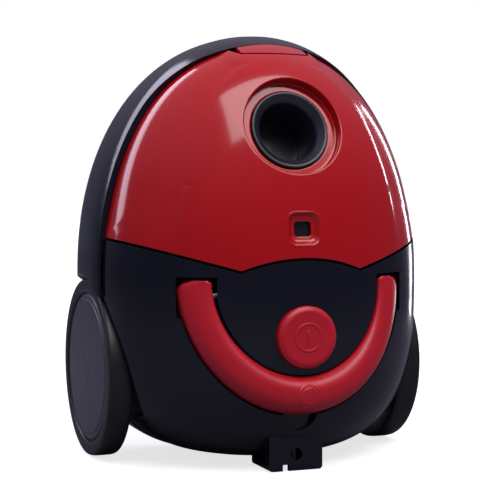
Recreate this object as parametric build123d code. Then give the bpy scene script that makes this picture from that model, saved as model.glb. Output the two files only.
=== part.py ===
from build123d import *
import math
import os

# A bagged canister vacuum cleaner, parked on its rear end.
# Z is up, the covers face -Y, the running side with the wheels faces +Y.

# Overall form
HEIGHT = 345.0  # floor to the top of the nose
BASE_HALF = 140.5  # half width of the base at its widest
LID_HALF = 134.5  # half width of the covers
BASE_MID_Y = 12.0  # where the base is widest
BASE_BACK_Y = 98.0  # running side of the base
RIM_Y = -8.0  # seam between base and covers
DOME_DEPTH = 96.5  # the covers rise this far from the seam
LID_DROP = 6.5  # the lid ends this far below the nose
WIDE_Z = 150.0
DEEP_Z = 120.0
LOW_Z = 4.0  # clearance under the rear end
WALL = 2.5
SEAM = 0.5  # gap between fixed shells
BEND_Z = 285.0  # above this the seam sweeps forward over the nose
BEND_R = 72.5
LEVELS = 14
BACK_POWER = 4.0  # how square the running side is
FRONT_POWER = 1.92  # how round the covers are

# Seam between lid and rear cover
TIP_X = 49.5
TIP_Z = 157.0
SIDE_Z = 181.0
ARCH_Z = 166.5
LID_GAP = 1.7

# Chamber floor
FLOOR_Z = 168.0
FLOOR_T = 3.0
FLOOR_FRONT_Y = -56.0

# Wheels
WHEEL_R = 73.0
WHEEL_Y = 39.5
WHEEL_T = 20.0
WHEEL_OUT = 136.0  # outer face
WELL_GAP = 4.5
WELL_IN = 111.5  # inner face of the wheel well
AXLE_R = 6.0
AXLE_LEN = 34.0
HUB_R = 62.0
CAP_ROUND_R = 700.0

# Parking foot
FOOT_HALF = 22.5
FOOT_FRONT_Y = -85.0
FOOT_BACK_Y = -47.0
FOOT_TOP_Z = 40.0
FOOT_HOLE_R = 4.8
FOOT_HOLE_Z = 13.0

# Finger pocket below the handle
SCOOP_R = 13.0
SCOOP_Z = 46.0
SCOOP_BACK_Y = -88.0

# Handle
HANDLE_TOP_Z = 150.0
HANDLE_OUT_X = 93.5
HANDLE_OUT_Z = 104.0
HANDLE_IN_X = 69.5
HANDLE_IN_Z = 74.0
HANDLE_PROUD = 1.5
HANDLE_RAKE = 7.5  # the grip leans out of the cover by this angle
HANDLE_SUNK = 5.0
HANDLE_GAP = 1.5
HANDLE_TOP_GAP = 3.2
HANDLE_AXIS_Y = -83.0
HANDLE_AXIS_Z = 139.0
HANDLE_PIN_R = 2.5
PIVOT_ROOM = 1.0  # extra side gap where the ends turn in their pockets

# Lid hinge
HINGE_Y = -92.0
HINGE_Z = 147.0
HINGE_X = 34.0
HINGE_PIN_R = 2.0
NECK_IN_R = 24.0
NECK_T = 3.5
NECK_W = 6.0

# Hose inlet
INLET_Y = -76.0
INLET_Z = 268.0
INLET_TILT = 20.0
BORE_R = 23.25
SLEEVE_R = 32.0
RECESS_R = 40.0
SLEEVE_LEN = 30.0
SLEEVE_SET = 8.0  # the sleeve's rim lies this far inside the recess
GASKET_T = 3.0

# Dust-bag window
WINDOW_Z = 190.0
WINDOW_W = 25.0
WINDOW_H = 24.0
WINDOW_HOLE_W = 14.0
WINDOW_HOLE_H = 11.5

# Power button
BUTTON_R = 24.0
BUTTON_Z = 107.0
BUTTON_FACE_Y = -110.5
BUTTON_T = 14.0
BUTTON_GAP = 0.5
BUTTON_TRAVEL = 3.5

# Motor and fan
MOTOR_X = -50.0
MOTOR_Y = 22.0
CAN_R = 42.0
CAN_LOW_Z = 50.0
CAN_LEN = 62.0
FAN_R = 54.0
FAN_H = 34.0
SHAFT_R = 4.0
BEARING_R = 11.0
EYE_R = 20.0

# Cord reel
REEL_X = 45.0
REEL_Y = -2.0
REEL_Z = 90.0
REEL_R = 58.0
REEL_HALF = 24.0
REEL_HUB_R = 24.0
REEL_BORE_R = 6.0
BRAKE_Z = 128.0

# Caster
CASTER_Z = 262.0
CASTER_WHEEL_R = 13.0
CASTER_TRAIL = 14.0

# Fasteners
SCREW_R = 2.0
SCREW_HEAD_R = 4.0


def fullness(z, low, mid, high, low_power, high_power):
    """Share of the full size that an outline has at height z: 1 at mid, 0 at low and high."""
    if z >= mid:
        share = (z - mid) / (high - mid)
        power = high_power
    else:
        share = (mid - z) / (mid - low)
        power = low_power
    return max(0.0, 1 - share**power) ** (1 / power)


def level_outline(half, fore, aft, mid_y, z):
    """Closed level outline: |x/half|^power + |y/depth|^power = 1, in front of and behind mid_y."""
    count = 28
    points = []
    for step in range(count):
        turn = 2 * math.pi * step / count
        power = BACK_POWER if math.sin(turn) > 0 else FRONT_POWER
        depth = aft if math.sin(turn) > 0 else fore
        across = math.copysign(abs(math.cos(turn)) ** (2 / power), math.cos(turn))
        along = math.copysign(abs(math.sin(turn)) ** (2 / power), math.sin(turn))
        points.append(Vector(half * across, mid_y + depth * along, z))
    shares = [step / count for step in range(count + 1)]
    return Wire([Edge.make_spline(points, periodic=True, parameters=shares)])


def egg(half, top, mid_y, front, back, inset):
    """Closed egg of stacked level outlines, drawn in by inset on every side."""
    low = LOW_Z + inset
    high = top - inset
    wires = []
    for step in range(LEVELS + 1):
        turn = math.radians(-80 + 164 * step / LEVELS)
        reach = high - WIDE_Z if turn > 0 else WIDE_Z - low
        z = WIDE_Z + reach * math.sin(turn)
        wide = (half - inset) * fullness(z, low, WIDE_Z, high, 3.1, 2.1)
        fore = (front - inset) * fullness(z, low, DEEP_Z, high, 3.2, 2.3)
        aft = (back - inset) * fullness(z, low, WIDE_Z, high, 4.0, 3.0)
        wires.append(level_outline(wide, fore, aft, mid_y, z))
    return Solid.make_loft(wires)


def base_egg(inset=0.0):
    return egg(BASE_HALF, HEIGHT + 0.7, BASE_MID_Y, DOME_DEPTH + BASE_MID_Y - RIM_Y,
               BASE_BACK_Y - BASE_MID_Y, inset)


def dome_egg(inset=0.0):
    return egg(LID_HALF, HEIGHT - LID_DROP + 0.7, RIM_Y, DOME_DEPTH, 30.0, inset)


def block(x0, x1, y0, y1, z0, z1):
    return Pos((x0 + x1) / 2, (y0 + y1) / 2, (z0 + z1) / 2) * Box(x1 - x0, y1 - y0, z1 - z0)


def rod_x(x0, x1, y, z, radius):
    return Pos((x0 + x1) / 2, y, z) * Rot(0, 90, 0) * Cylinder(radius, x1 - x0)


def rod_y(y0, y1, x, z, radius):
    return Pos(x, (y0 + y1) / 2, z) * Rot(90, 0, 0) * Cylinder(radius, y1 - y0)


def rod_z(z0, z1, x, y, radius):
    return Pos(x, y, (z0 + z1) / 2) * Cylinder(radius, z1 - z0)


def tube_x(x0, x1, y, z, outer, inner):
    return rod_x(x0, x1, y, z, outer) - rod_x(x0 - 1, x1 + 1, y, z, inner)


def tube_y(y0, y1, x, z, outer, inner):
    return rod_y(y0, y1, x, z, outer) - rod_y(y0 - 1, y1 + 1, x, z, inner)


def tube_z(z0, z1, x, y, outer, inner):
    return rod_z(z0, z1, x, y, outer) - rod_z(z0 - 1, z1 + 1, x, y, inner)


def coil(radius, wire, length, turns):
    """A compression spring about Z, from z = 0 to its length."""
    path = Helix(pitch=(length - 2 * wire) / turns, height=length - 2 * wire, radius=radius)
    start = Plane(origin=path @ 0, z_dir=path % 0)
    return Pos(0, 0, wire) * sweep(start * Circle(wire), path=path)


def front_space(shift):
    """Everything in front of the seam, whose upper end sweeps forward over the nose."""
    edge_y = RIM_Y - shift
    lower = Line((edge_y, -60), (edge_y, BEND_Z))
    bend = CenterArc((edge_y - BEND_R, BEND_Z), BEND_R, 0, 90)
    rest = Polyline((edge_y - BEND_R, BEND_Z + BEND_R), (-400, BEND_Z + BEND_R), (-400, -60), (edge_y, -60))
    return extrude(Plane.YZ * make_face(Curve() + [lower, bend, rest]), 300, both=True)


def lid_space(shift):
    """Everything above the arched seam between rear cover and lid."""
    slope = (SIDE_Z - TIP_Z) / (LID_HALF - TIP_X)
    far_x = 250
    far_z = TIP_Z + slope * (far_x - TIP_X)
    arch = ThreePointArc((-TIP_X, TIP_Z + shift), (0, ARCH_Z + shift), (TIP_X, TIP_Z + shift))
    rest = Polyline((TIP_X, TIP_Z + shift), (far_x, far_z + shift), (far_x, 500), (-far_x, 500),
                    (-far_x, far_z + shift), (-TIP_X, TIP_Z + shift))
    return extrude(Plane.XZ * make_face(Curve() + [arch, rest]), 300, both=True)


def handle_band(grow, top_grow):
    """The handle's U as seen from the front, as a prism in front of the seam."""
    outer = Pos(0, HANDLE_TOP_Z) * Ellipse(HANDLE_OUT_X + grow, HANDLE_OUT_Z + grow)
    inner = Pos(0, HANDLE_TOP_Z) * Ellipse(HANDLE_IN_X - grow, HANDLE_IN_Z - grow)
    lower = Pos(0, HANDLE_TOP_Z - 100) * Rectangle(400, 200)
    upper = Rectangle(2 * (HANDLE_OUT_X + grow), top_grow) - Rectangle(2 * (HANDLE_IN_X - grow), top_grow)
    band = (outer - inner) & lower
    if top_grow > 0:
        band += Pos(0, HANDLE_TOP_Z + top_grow / 2) * upper
    return extrude(Plane.XZ * band, 200)


def inlet_place():
    """Frame at the middle of the inlet's rim: local Z points out of the inlet."""
    return Pos(0, INLET_Y, INLET_Z) * Rot(90 - INLET_TILT, 0, 0)


def both_sides(thing):
    return [thing, mirror(thing, about=Plane.YZ)]


def well_drum(radius, inner_x):
    """Both wheel-well drums, from inner_x outwards."""
    return both_sides(rod_x(inner_x, 170, WHEEL_Y, WHEEL_R, radius))


base_full = base_egg()
base_void = base_egg(WALL)
dome_full = dome_egg()
dome_void = dome_egg(WALL)
base_core = base_egg(1.0)  # what is added inside a shell stops within its wall
dome_core = dome_egg(1.0)
seam_front = front_space(0)
cover_space = front_space(SEAM)
WELL_R = WHEEL_R + WELL_GAP
MOTOR_TOP_Z = FLOOR_Z - 4.0  # a seal fills the rest
FAN_Z = MOTOR_TOP_Z - FAN_H
CAN_Z = FAN_Z - CAN_LEN
SHELF_Z = CAN_Z - 12.0
CHAMBER_Z = FLOOR_Z + FLOOR_T
REEL_SIDE = REEL_X + REEL_HALF


def add_all(solid, pieces):
    for piece in pieces:
        solid += piece
    return solid


def cut_all(solid, pieces):
    for piece in pieces:
        solid -= piece
    return solid


# Base: shell, chamber floor, wheel wells, sockets

CASTER_WALL_Y = 83.0
GRILLE_HALF_X = 38.0
GRILLE_FRONT_Y = -2.0
GRILLE_BACK_Y = 42.0
LATCH_BAR_Z = 312.0
BOSS_X = 122.0
BOSS_Z = 160.0
LOW_BOSS_X = 56.0
LOW_BOSS_Z = 20.0
BOSS_HALF = 7.5
BOSS_BACK_Y = 14.0
GLAND_X = REEL_X
GLAND_Z = 110.0
GLAND_R = 9.0


def boss_places():
    return [(BOSS_X, BOSS_Z), (-BOSS_X, BOSS_Z), (LOW_BOSS_X, LOW_BOSS_Z), (-LOW_BOSS_X, LOW_BOSS_Z)]


def base_housing():
    shell = base_full - base_void
    shell += block(-150, 150, RIM_Y - 1, 120, FLOOR_Z, CHAMBER_Z) & base_core
    shell = add_all(shell, [caster_cup(), grille_box(), motor_shelf()])
    drums = well_drum(WELL_R + WALL, WELL_IN - WALL)
    shell = add_all(shell, [drum & base_core for drum in drums]) - seam_front
    shell += block(-150, 150, FLOOR_FRONT_Y, RIM_Y, FLOOR_Z, CHAMBER_Z) & dome_egg(WALL + 1.0)
    shell = add_all(shell, [drum & dome_core & seam_front for drum in drums])
    shell = cut_all(shell, well_drum(WELL_R, WELL_IN))
    shell = add_all(shell, [rim_flange(), latch_keeper()] + base_bosses())
    shell = add_all(shell, both_sides(rod_x(WELL_IN - 14, WELL_IN - WALL + 1, WHEEL_Y, WHEEL_R, AXLE_R + 4)))
    shell = cut_all(shell, both_sides(rod_x(WELL_IN - 15, WELL_IN + 5, WHEEL_Y, WHEEL_R, AXLE_R)))
    shell -= rod_y(CASTER_WALL_Y, 130, 0, CASTER_Z, CASTER_TRAIL + CASTER_WHEEL_R + 4)
    shell -= rod_y(CASTER_WALL_Y - 20, CASTER_WALL_Y + 1, 0, CASTER_Z, 5.2)
    shell -= block(-GRILLE_HALF_X - 0.4, GRILLE_HALF_X + 0.4, GRILLE_FRONT_Y - 0.4, GRILLE_BACK_Y + 0.4, 0, 12)
    shell -= rod_z(FLOOR_Z - 1, CHAMBER_Z + 1, MOTOR_X, MOTOR_Y, EYE_R)
    shell -= rod_y(80, 110, GLAND_X, GLAND_Z, GLAND_R)
    for x, z in boss_places():
        shell -= rod_y(RIM_Y - 1, BOSS_BACK_Y + 1, x, z, SCREW_R + 0.3)
    return shell


def rim_flange():
    """Inward flange of the base's rim on which the lid's gasket closes."""
    band = (front_space(-3.0) - seam_front) & base_core & block(-200, 200, -200, 200, FLOOR_Z + 1, 400)
    return band - dome_egg(WALL + 4.5)


def caster_cup():
    cup_r = CASTER_TRAIL + CASTER_WHEEL_R + 4 + WALL
    cup = rod_y(CASTER_WALL_Y - WALL, 120, 0, CASTER_Z, cup_r) & base_core
    return cup + rod_y(CASTER_WALL_Y - 16, CASTER_WALL_Y, 0, CASTER_Z, 9)


def latch_keeper():
    """Two cheeks under the nose with a cross bar, sloped so that the lid's hook can swing past it."""
    cheeks = block(-27, -24, -22, -12, LATCH_BAR_Z, 345) + block(24, 27, -22, -12, LATCH_BAR_Z, 345)
    section = Polyline((-20, LATCH_BAR_Z), (-20, LATCH_BAR_Z + 4), (-16, LATCH_BAR_Z + 2.1), (-16, LATCH_BAR_Z),
                       (-20, LATCH_BAR_Z))
    bar = Pos(-27, 0, 0) * extrude(Plane.YZ * make_face(section), 54)
    return (cheeks + bar) & base_core


def grille_box():
    """Four walls that hold the exhaust filter above the grille."""
    outer = block(-GRILLE_HALF_X - 5, GRILLE_HALF_X + 5, GRILLE_FRONT_Y - 5, GRILLE_BACK_Y + 5, LOW_Z, 26)
    inner = block(-GRILLE_HALF_X - 2.5, GRILLE_HALF_X + 2.5, GRILLE_FRONT_Y - 2.5, GRILLE_BACK_Y + 2.5, 0, 30)
    return (outer - inner) & base_core


def motor_shelf():
    shelf = block(-WELL_IN, MOTOR_X + 58, MOTOR_Y - 44, 110, SHELF_Z - 3, SHELF_Z) & base_core
    return shelf - rod_z(SHELF_Z - 4, SHELF_Z + 1, MOTOR_X, MOTOR_Y, 27)


def base_bosses():
    bosses = []
    for x, z in boss_places():
        top = FLOOR_Z + 1 if z == BOSS_Z else z + BOSS_HALF
        low = z - BOSS_HALF if z == BOSS_Z else 0
        blank = block(x - BOSS_HALF, x + BOSS_HALF, RIM_Y, BOSS_BACK_Y, low, top)
        bosses.append(blank & base_core)
    return bosses


# Rear cover with the parking foot, the handle's recess and the button's guide


def rear_cover():
    shell = ((dome_full - dome_void) & cover_space) - lid_space(-LID_GAP / 2)
    shell = cut_all(shell, well_drum(WELL_R + WALL + SEAM, WELL_IN - WALL - SEAM))
    recess_back = dome_egg(HANDLE_SUNK + 0.6)
    trough = handle_band(HANDLE_GAP + WALL, HANDLE_TOP_GAP + WALL) & (dome_core - dome_egg(HANDLE_SUNK + 0.6 + WALL))
    pockets = []
    pocket_cuts = []
    for sign in (-1, 1):
        ends = sorted([sign * (HANDLE_IN_X - HANDLE_GAP - WALL), sign * (HANDLE_OUT_X + HANDLE_GAP + WALL)])
        inner = sorted([sign * (HANDLE_IN_X - HANDLE_GAP - PIVOT_ROOM), sign * (HANDLE_OUT_X + HANDLE_GAP)])
        pockets.append(rod_x(ends[0], ends[1], HANDLE_AXIS_Y, HANDLE_AXIS_Z, 22.0))
        pocket_cuts.append(rod_x(inner[0], inner[1], HANDLE_AXIS_Y, HANDLE_AXIS_Z, 19.0))
    top_z = HANDLE_TOP_Z + HANDLE_TOP_GAP
    for pocket in pockets:
        trough += pocket & dome_core & block(-200, 200, -200, 0, 0, top_z + WALL)
    shell += (trough + scoop_cup()) & cover_space
    shell -= handle_band(HANDLE_GAP, HANDLE_TOP_GAP) & (dome_egg(-20.0) - recess_back)
    for cut in pocket_cuts:
        shell -= cut & block(-200, 200, -200, 0, 0, top_z)
    shell += handle_pin_bosses()
    shell += button_guide() + switch_cage() + hinge_ears() + parking_foot()
    shell = add_all(shell, cover_bosses())
    shell -= rod_y(-130, -90, 0, BUTTON_Z, BUTTON_R + BUTTON_GAP)
    shell -= rod_y(-140, SCOOP_BACK_Y, 0, SCOOP_Z, SCOOP_R)
    shell = cut_all(shell, both_sides(rod_x(HANDLE_IN_X - 8, HANDLE_IN_X, HANDLE_AXIS_Y, HANDLE_AXIS_Z, HANDLE_PIN_R)))
    shell = cut_all(shell, both_sides(rod_x(HINGE_X - 12, HINGE_X + 12, HINGE_Y, HINGE_Z, HINGE_PIN_R)))
    for x, z in boss_places():
        shell -= rod_y(RIM_Y - 26, RIM_Y, x, z, SCREW_R)
    return shell


def handle_pin_bosses():
    boss = rod_x(HANDLE_IN_X - 8, HANDLE_IN_X - HANDLE_GAP - PIVOT_ROOM, HANDLE_AXIS_Y, HANDLE_AXIS_Z, 6.0) & dome_core
    return boss + mirror(boss, about=Plane.YZ)


def button_guide():
    tube = tube_y(-104.5, -99.0, 0, BUTTON_Z, BUTTON_R + BUTTON_GAP + WALL, BUTTON_R + BUTTON_GAP)
    return tube & dome_core


def switch_cage():
    """Two arms behind the button that carry the switch."""
    low_z = BUTTON_Z - 7
    high_z = BUTTON_Z + 7
    side = block(11.3, 14.0, -89, -60, low_z, high_z)
    side += block(28.5, 31.0, -110, -86, low_z, high_z) & dome_core
    side += block(11.3, 31.0, -89, -86, low_z, high_z)
    return side + mirror(side, about=Plane.YZ)


def hinge_ears():
    """Four ears behind the cover that hold the lid's two hinge pins."""
    ears = []
    for x in (HINGE_X - 6.5, HINGE_X + 6.5):
        ear = block(x - 1.5, x + 1.5, -110, HINGE_Y + 5, HINGE_Z - 7, HINGE_Z + 5) & dome_core
        ears.extend(both_sides(ear))
    return ears[0] + ears[1] + ears[2] + ears[3]


def parking_foot():
    """Hollow foot under the rear cover, with a round hole and a notch in its front."""
    foot = block(-FOOT_HALF, FOOT_HALF, FOOT_FRONT_Y, FOOT_BACK_Y, 0, FOOT_TOP_Z)
    foot = fillet(foot.edges().filter_by(Axis.Y).group_by(Axis.Z)[0], 3.0)
    inner = block(-FOOT_HALF + 3, FOOT_HALF - 3, FOOT_FRONT_Y + 3, FOOT_BACK_Y - 3, -1, FOOT_TOP_Z - 12)
    web = block(-1.5, 1.5, FOOT_FRONT_Y + 2, FOOT_BACK_Y - 2, 8, FOOT_TOP_Z - 11)
    foot = (foot - inner) + web
    foot -= dome_egg(WALL - 0.1)
    foot -= rod_y(FOOT_FRONT_Y - 1, FOOT_FRONT_Y + 4, 0.5, FOOT_HOLE_Z, FOOT_HOLE_R)
    foot -= block(-11, -6, FOOT_FRONT_Y - 1, FOOT_FRONT_Y + 4, -1, 5)
    return foot


def scoop_cup():
    """Walls of the finger pocket below the handle."""
    return rod_y(-110, SCOOP_BACK_Y + WALL, 0, SCOOP_Z, SCOOP_R + WALL) & dome_core


def cover_bosses():
    bosses = []
    for x, z in boss_places():
        blank = block(x - BOSS_HALF, x + BOSS_HALF, -60, RIM_Y - SEAM, z - BOSS_HALF, z + BOSS_HALF)
        bosses.append(blank & dome_core)
    return bosses


# Lid with its inlet cup, window, hinge arms and latch ears

LATCH_PIN_Y = -44.0
LATCH_PIN_Z = 317.0
TAB_HALF = 28.0
TAB_Z = 328.0
RECESS_FLOOR = -6.0
FLANGE_Z = -8.5


def dust_cover():
    shell = ((dome_full - dome_void) & cover_space) & lid_space(LID_GAP / 2)
    cup = inlet_place() * Pos(0, 0, FLANGE_Z) * extrude(Circle(RECESS_R + WALL), 80)
    shell += cup & dome_core & cover_space
    shell -= inlet_place() * Pos(0, 0, RECESS_FLOOR) * extrude(Circle(RECESS_R), 80)
    shell -= inlet_place() * Pos(0, 0, -40) * extrude(Circle(SLEEVE_R + 0.3), 80)
    shell += window_cup()
    shell -= window_recess()
    shell -= block(-TAB_HALF - 0.4, TAB_HALF + 0.4, -80, 20, TAB_Z - 0.4, 360)
    shell = add_all(shell, both_sides(hinge_arm()) + both_sides(latch_ear()))
    shell = cut_all(shell, both_sides(rod_x(HINGE_X - 12, HINGE_X + 12, HINGE_Y, HINGE_Z, HINGE_PIN_R + 0.2)))
    shell = cut_all(shell, both_sides(rod_x(20, 30, LATCH_PIN_Y, LATCH_PIN_Z, 1.5)))
    return shell


def hinge_arm():
    """Gooseneck from the lid's wall round the cover's top edge to the hinge pin."""
    ring = Circle(NECK_IN_R + NECK_T) - Circle(NECK_IN_R)
    wedge = make_face(Polyline((0, 0), (60, 10), (60, 60), (-32, 60), (0, 0)))
    neck = (ring & wedge) + Circle(4.0)
    neck += Rot(0, 0, 15) * Pos(NECK_IN_R / 2 + 1, 0) * Rectangle(NECK_IN_R + 2, NECK_T)
    arm = Pos(HINGE_X - NECK_W / 2, HINGE_Y, HINGE_Z) * extrude(Plane.YZ * neck, NECK_W)
    return arm & dome_core


def latch_ear():
    ear = block(23, 26, LATCH_PIN_Y - 20, LATCH_PIN_Y + 4, LATCH_PIN_Z - 4, LATCH_PIN_Z + 5)
    return ear & dome_core


def window_place():
    return Pos(0, RIM_Y - DOME_DEPTH * 0.96, WINDOW_Z) * Rot(90 - 6, 0, 0)


def window_cup():
    cup = window_place() * Pos(0, 0, -6.5) * extrude(RectangleRounded(WINDOW_W + 3, WINDOW_H + 3, 7), 20)
    return cup & dome_core


def window_recess():
    dish = window_place() * Pos(0, 0, -4.5) * extrude(RectangleRounded(WINDOW_W, WINDOW_H, 6), 20)
    hole = window_place() * Pos(0, 0, -20) * extrude(RectangleRounded(WINDOW_HOLE_W, WINDOW_HOLE_H, 2.5), 40)
    return dish + hole


# Inlet, window and latch parts that move with the lid


def inlet_sleeve():
    """Black funnel of the hose socket with a flange behind the lid's recess."""
    outline = Polyline((BORE_R + 7, -4), (SLEEVE_R, -4), (SLEEVE_R, FLANGE_Z - 0.3), (SLEEVE_R + 5, FLANGE_Z - 0.3),
                       (SLEEVE_R + 5, FLANGE_Z - 2.5), (BORE_R + 4, FLANGE_Z - 2.5), (BORE_R + 4, -46),
                       (BORE_R, -46), (BORE_R, -16), (BORE_R + 7, -4))
    return inlet_place() * revolve(Plane.XZ * make_face(outline), Axis.Z)


def window_lens():
    blank = extrude(RectangleRounded(WINDOW_HOLE_W + 4, WINDOW_HOLE_H + 4, 3), 1.5)
    return window_place() * Pos(0, 0, -8.3) * blank


def indicator_case():
    """Tray behind the window in which the bag-full shutter slides."""
    tray = extrude(Rectangle(24, 34), 9) - Pos(0, 0, 2) * extrude(Rectangle(19, 30), 9)
    tray -= Pos(0, 0, 7.2) * extrude(RectangleRounded(WINDOW_HOLE_W + 4.6, WINDOW_HOLE_H + 4.6, 3), 5)
    return window_place() * Pos(0, 0, -15.6) * tray


def indicator_shutter():
    slide = extrude(Rectangle(18, 9), 2) + Pos(0, -3, 0) * extrude(Rectangle(4, 3), 4)
    return window_place() * Pos(0, 9, -13) * slide


def indicator_spring():
    return window_place() * Pos(0, -14.6, -11.6) * Rot(-90, 0, 0) * coil(1.6, 0.3, 18.6, 7)


def latch_hook():
    """Finger tab in the lid's lip with a hook that drops behind the base's cross bar."""
    skin = (dome_full - dome_void) & cover_space & block(-TAB_HALF, TAB_HALF, -80, 20, TAB_Z, 360)
    arm = block(-20, 20, LATCH_PIN_Y + 2, -11.5, LATCH_BAR_Z + 4.5, LATCH_BAR_Z + 8.5)
    hook = block(-20, 20, -15.5, -11.5, LATCH_BAR_Z + 2.4, LATCH_BAR_Z + 6)
    webs = block(-20, -16, LATCH_PIN_Y - 2, -26, LATCH_PIN_Z, 345) + block(16, 20, LATCH_PIN_Y - 2, -26, LATCH_PIN_Z, 345)
    barrels = rod_x(-22.5, -9, LATCH_PIN_Y, LATCH_PIN_Z, 3.0) + rod_x(9, 22.5, LATCH_PIN_Y, LATCH_PIN_Z, 3.0)
    upper = webs & dome_core & block(-30, 30, -80, 20, TAB_Z, 360)
    lower = webs & dome_egg(WALL + 2.5) & block(-30, 30, -80, 20, 300, TAB_Z)
    body = skin + ((upper + lower) & front_space(1.5)) + arm + hook + barrels
    body -= block(-9.5, 9.5, LATCH_PIN_Y - 5, LATCH_PIN_Y + 6, LATCH_PIN_Z - 6, LATCH_PIN_Z + 6)
    return body - rod_x(-25, 25, LATCH_PIN_Y, LATCH_PIN_Z, 1.7)


def latch_pin():
    return rod_x(-26, 26, LATCH_PIN_Y, LATCH_PIN_Z, 1.5)


def latch_spring():
    return Pos(-8.5, LATCH_PIN_Y, LATCH_PIN_Z) * Rot(0, 90, 0) * coil(2.8, 0.4, 17, 9)


# Bag, its holder and the motor filter


def bag_gasket():
    return inlet_place() * Pos(0, 0, -46.3 - GASKET_T) * extrude(Circle(SLEEVE_R) - Circle(BORE_R + 1.5), GASKET_T)


def bag_collar():
    plate = RectangleRounded(92, 104, 8) - Circle(BORE_R + 2)
    return inlet_place() * Pos(0, 0, -46.3 - GASKET_T - 2.5) * extrude(plate, 2.5)


def bag_holder():
    """Frame that carries the bag's collar, on two legs on the chamber floor."""
    top = -46.3 - GASKET_T - 2.5
    frame = extrude(RectangleRounded(104, 116, 10) - Circle(38), 3)
    rim = extrude(RectangleRounded(104, 116, 10) - RectangleRounded(93, 105, 8), 5)
    holder = inlet_place() * Pos(0, 0, top - 3) * (frame + rim)
    for x in (-44, 44):
        holder += block(x - 5, x + 5, -53, -44, CHAMBER_Z, 198)
    return holder


def dust_bag():
    """Filled bag that follows the chamber, with a neck at the collar."""
    room = block(-200, 200, 2, 200, CHAMBER_Z + 18, 322) & base_egg(13.0)
    neck = inlet_place() * Pos(0, 0, -95) * extrude(Circle(BORE_R + 1), 95 - 46.3 - GASKET_T - 2.5)
    room -= rod_y(CASTER_WALL_Y - 20, 130, 0, CASTER_Z, CASTER_TRAIL + CASTER_WHEEL_R + 10)
    return room + neck


def filter_frame():
    frame = block(MOTOR_X - 46, MOTOR_X + 46, MOTOR_Y - 40, MOTOR_Y + 40, CHAMBER_Z, CHAMBER_Z + 13)
    frame -= block(MOTOR_X - 43, MOTOR_X + 43, MOTOR_Y - 37, MOTOR_Y + 37, CHAMBER_Z + 2, CHAMBER_Z + 14)
    for row in range(-2, 3):
        frame -= block(MOTOR_X - 40, MOTOR_X + 40, MOTOR_Y + 14 * row - 5, MOTOR_Y + 14 * row + 5, CHAMBER_Z - 1,
                       CHAMBER_Z + 3)
    return frame


def filter_foam():
    return block(MOTOR_X - 42.7, MOTOR_X + 42.7, MOTOR_Y - 36.7, MOTOR_Y + 36.7, CHAMBER_Z + 2, CHAMBER_Z + 12)


# Handle, button and switch


def carry_handle():
    pivot = Pos(0, HANDLE_AXIS_Y, HANDLE_AXIS_Z)
    raked = pivot * Rot(-HANDLE_RAKE, 0, 0) * pivot.inverse() * dome_egg(-HANDLE_PROUD)
    band = (handle_band(0, 0) & raked) - dome_egg(HANDLE_SUNK)
    for hole in both_sides(rod_x(HANDLE_IN_X - 3, HANDLE_IN_X + 4, HANDLE_AXIS_Y, HANDLE_AXIS_Z, HANDLE_PIN_R + 0.1)):
        band -= hole
    return band


def handle_pins():
    return both_sides(rod_x(HANDLE_IN_X - 7, HANDLE_IN_X + 3.7, HANDLE_AXIS_Y, HANDLE_AXIS_Z, HANDLE_PIN_R))


def power_button():
    back_y = BUTTON_FACE_Y + BUTTON_T
    cap = rod_y(BUTTON_FACE_Y, back_y, 0, BUTTON_Z, BUTTON_R)
    cap -= rod_y(BUTTON_FACE_Y + 3, back_y + 1, 0, BUTTON_Z, BUTTON_R - 2.5)
    cap = chamfer(cap.edges().filter_by(GeomType.CIRCLE).group_by(Axis.Y)[0], 1.5)
    flange = tube_y(back_y - 2.2, back_y, 0, BUTTON_Z, BUTTON_R + 2.2, BUTTON_R - 2.5)
    stem = tube_y(BUTTON_FACE_Y + 2, -91, 0, BUTTON_Z, 6.0, 4.0)
    return cap + flange + stem


def button_spring():
    return Pos(0, -78.3, BUTTON_Z) * Rot(90, 0, 0) * coil(8.0, 0.5, 28.9, 6)


def power_switch():
    body = block(-11, 11, -78, -62, BUTTON_Z - 12, BUTTON_Z + 12)
    tabs = block(-9, -6, -62, -56, BUTTON_Z - 2, BUTTON_Z + 2) + block(6, 9, -62, -56, BUTTON_Z - 2, BUTTON_Z + 2)
    lugs = block(-11.3, 11.3, -70, -64, BUTTON_Z - 5, BUTTON_Z + 5)
    return body + tabs + lugs


def hinge_pins():
    return both_sides(rod_x(HINGE_X - 8, HINGE_X + 8, HINGE_Y, HINGE_Z, HINGE_PIN_R))


# Wheels and caster


def tyre():
    face = Pos(WHEEL_OUT - WHEEL_T / 2, (WHEEL_R + HUB_R) / 2) * RectangleRounded(WHEEL_T, WHEEL_R - HUB_R, 4.5)
    face -= Pos(WHEEL_OUT - WHEEL_T / 2, HUB_R - 5) * Rectangle(14, 10)
    return Pos(0, WHEEL_Y, WHEEL_R) * revolve(Plane.XY * face, Axis.X)


def wheel_hub():
    """Dished hub with a rim, a web and a boss on the axle."""
    mid_x = WHEEL_OUT - WHEEL_T / 2
    rim = Pos(mid_x, HUB_R - 3) * Rectangle(14, 6)
    web = Pos(mid_x - 2, (HUB_R + AXLE_R + 2) / 2) * Rectangle(3, HUB_R - AXLE_R - 2)
    boss = Pos(mid_x - 2.5, AXLE_R + 4) * Rectangle(13, 7.6)
    return Pos(0, WHEEL_Y, WHEEL_R) * revolve(Plane.XY * ((rim + web + boss)), Axis.X)


def hub_cap():
    """Slightly domed cap clipped to the hub's rim."""
    inner_x = WHEEL_OUT - WHEEL_T / 2 + 7
    disc = rod_x(inner_x, inner_x + 10, WHEEL_Y, WHEEL_R, HUB_R - 1.5)
    return disc & Pos(inner_x + 4.8 - CAP_ROUND_R, WHEEL_Y, WHEEL_R) * Sphere(CAP_ROUND_R)


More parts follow.
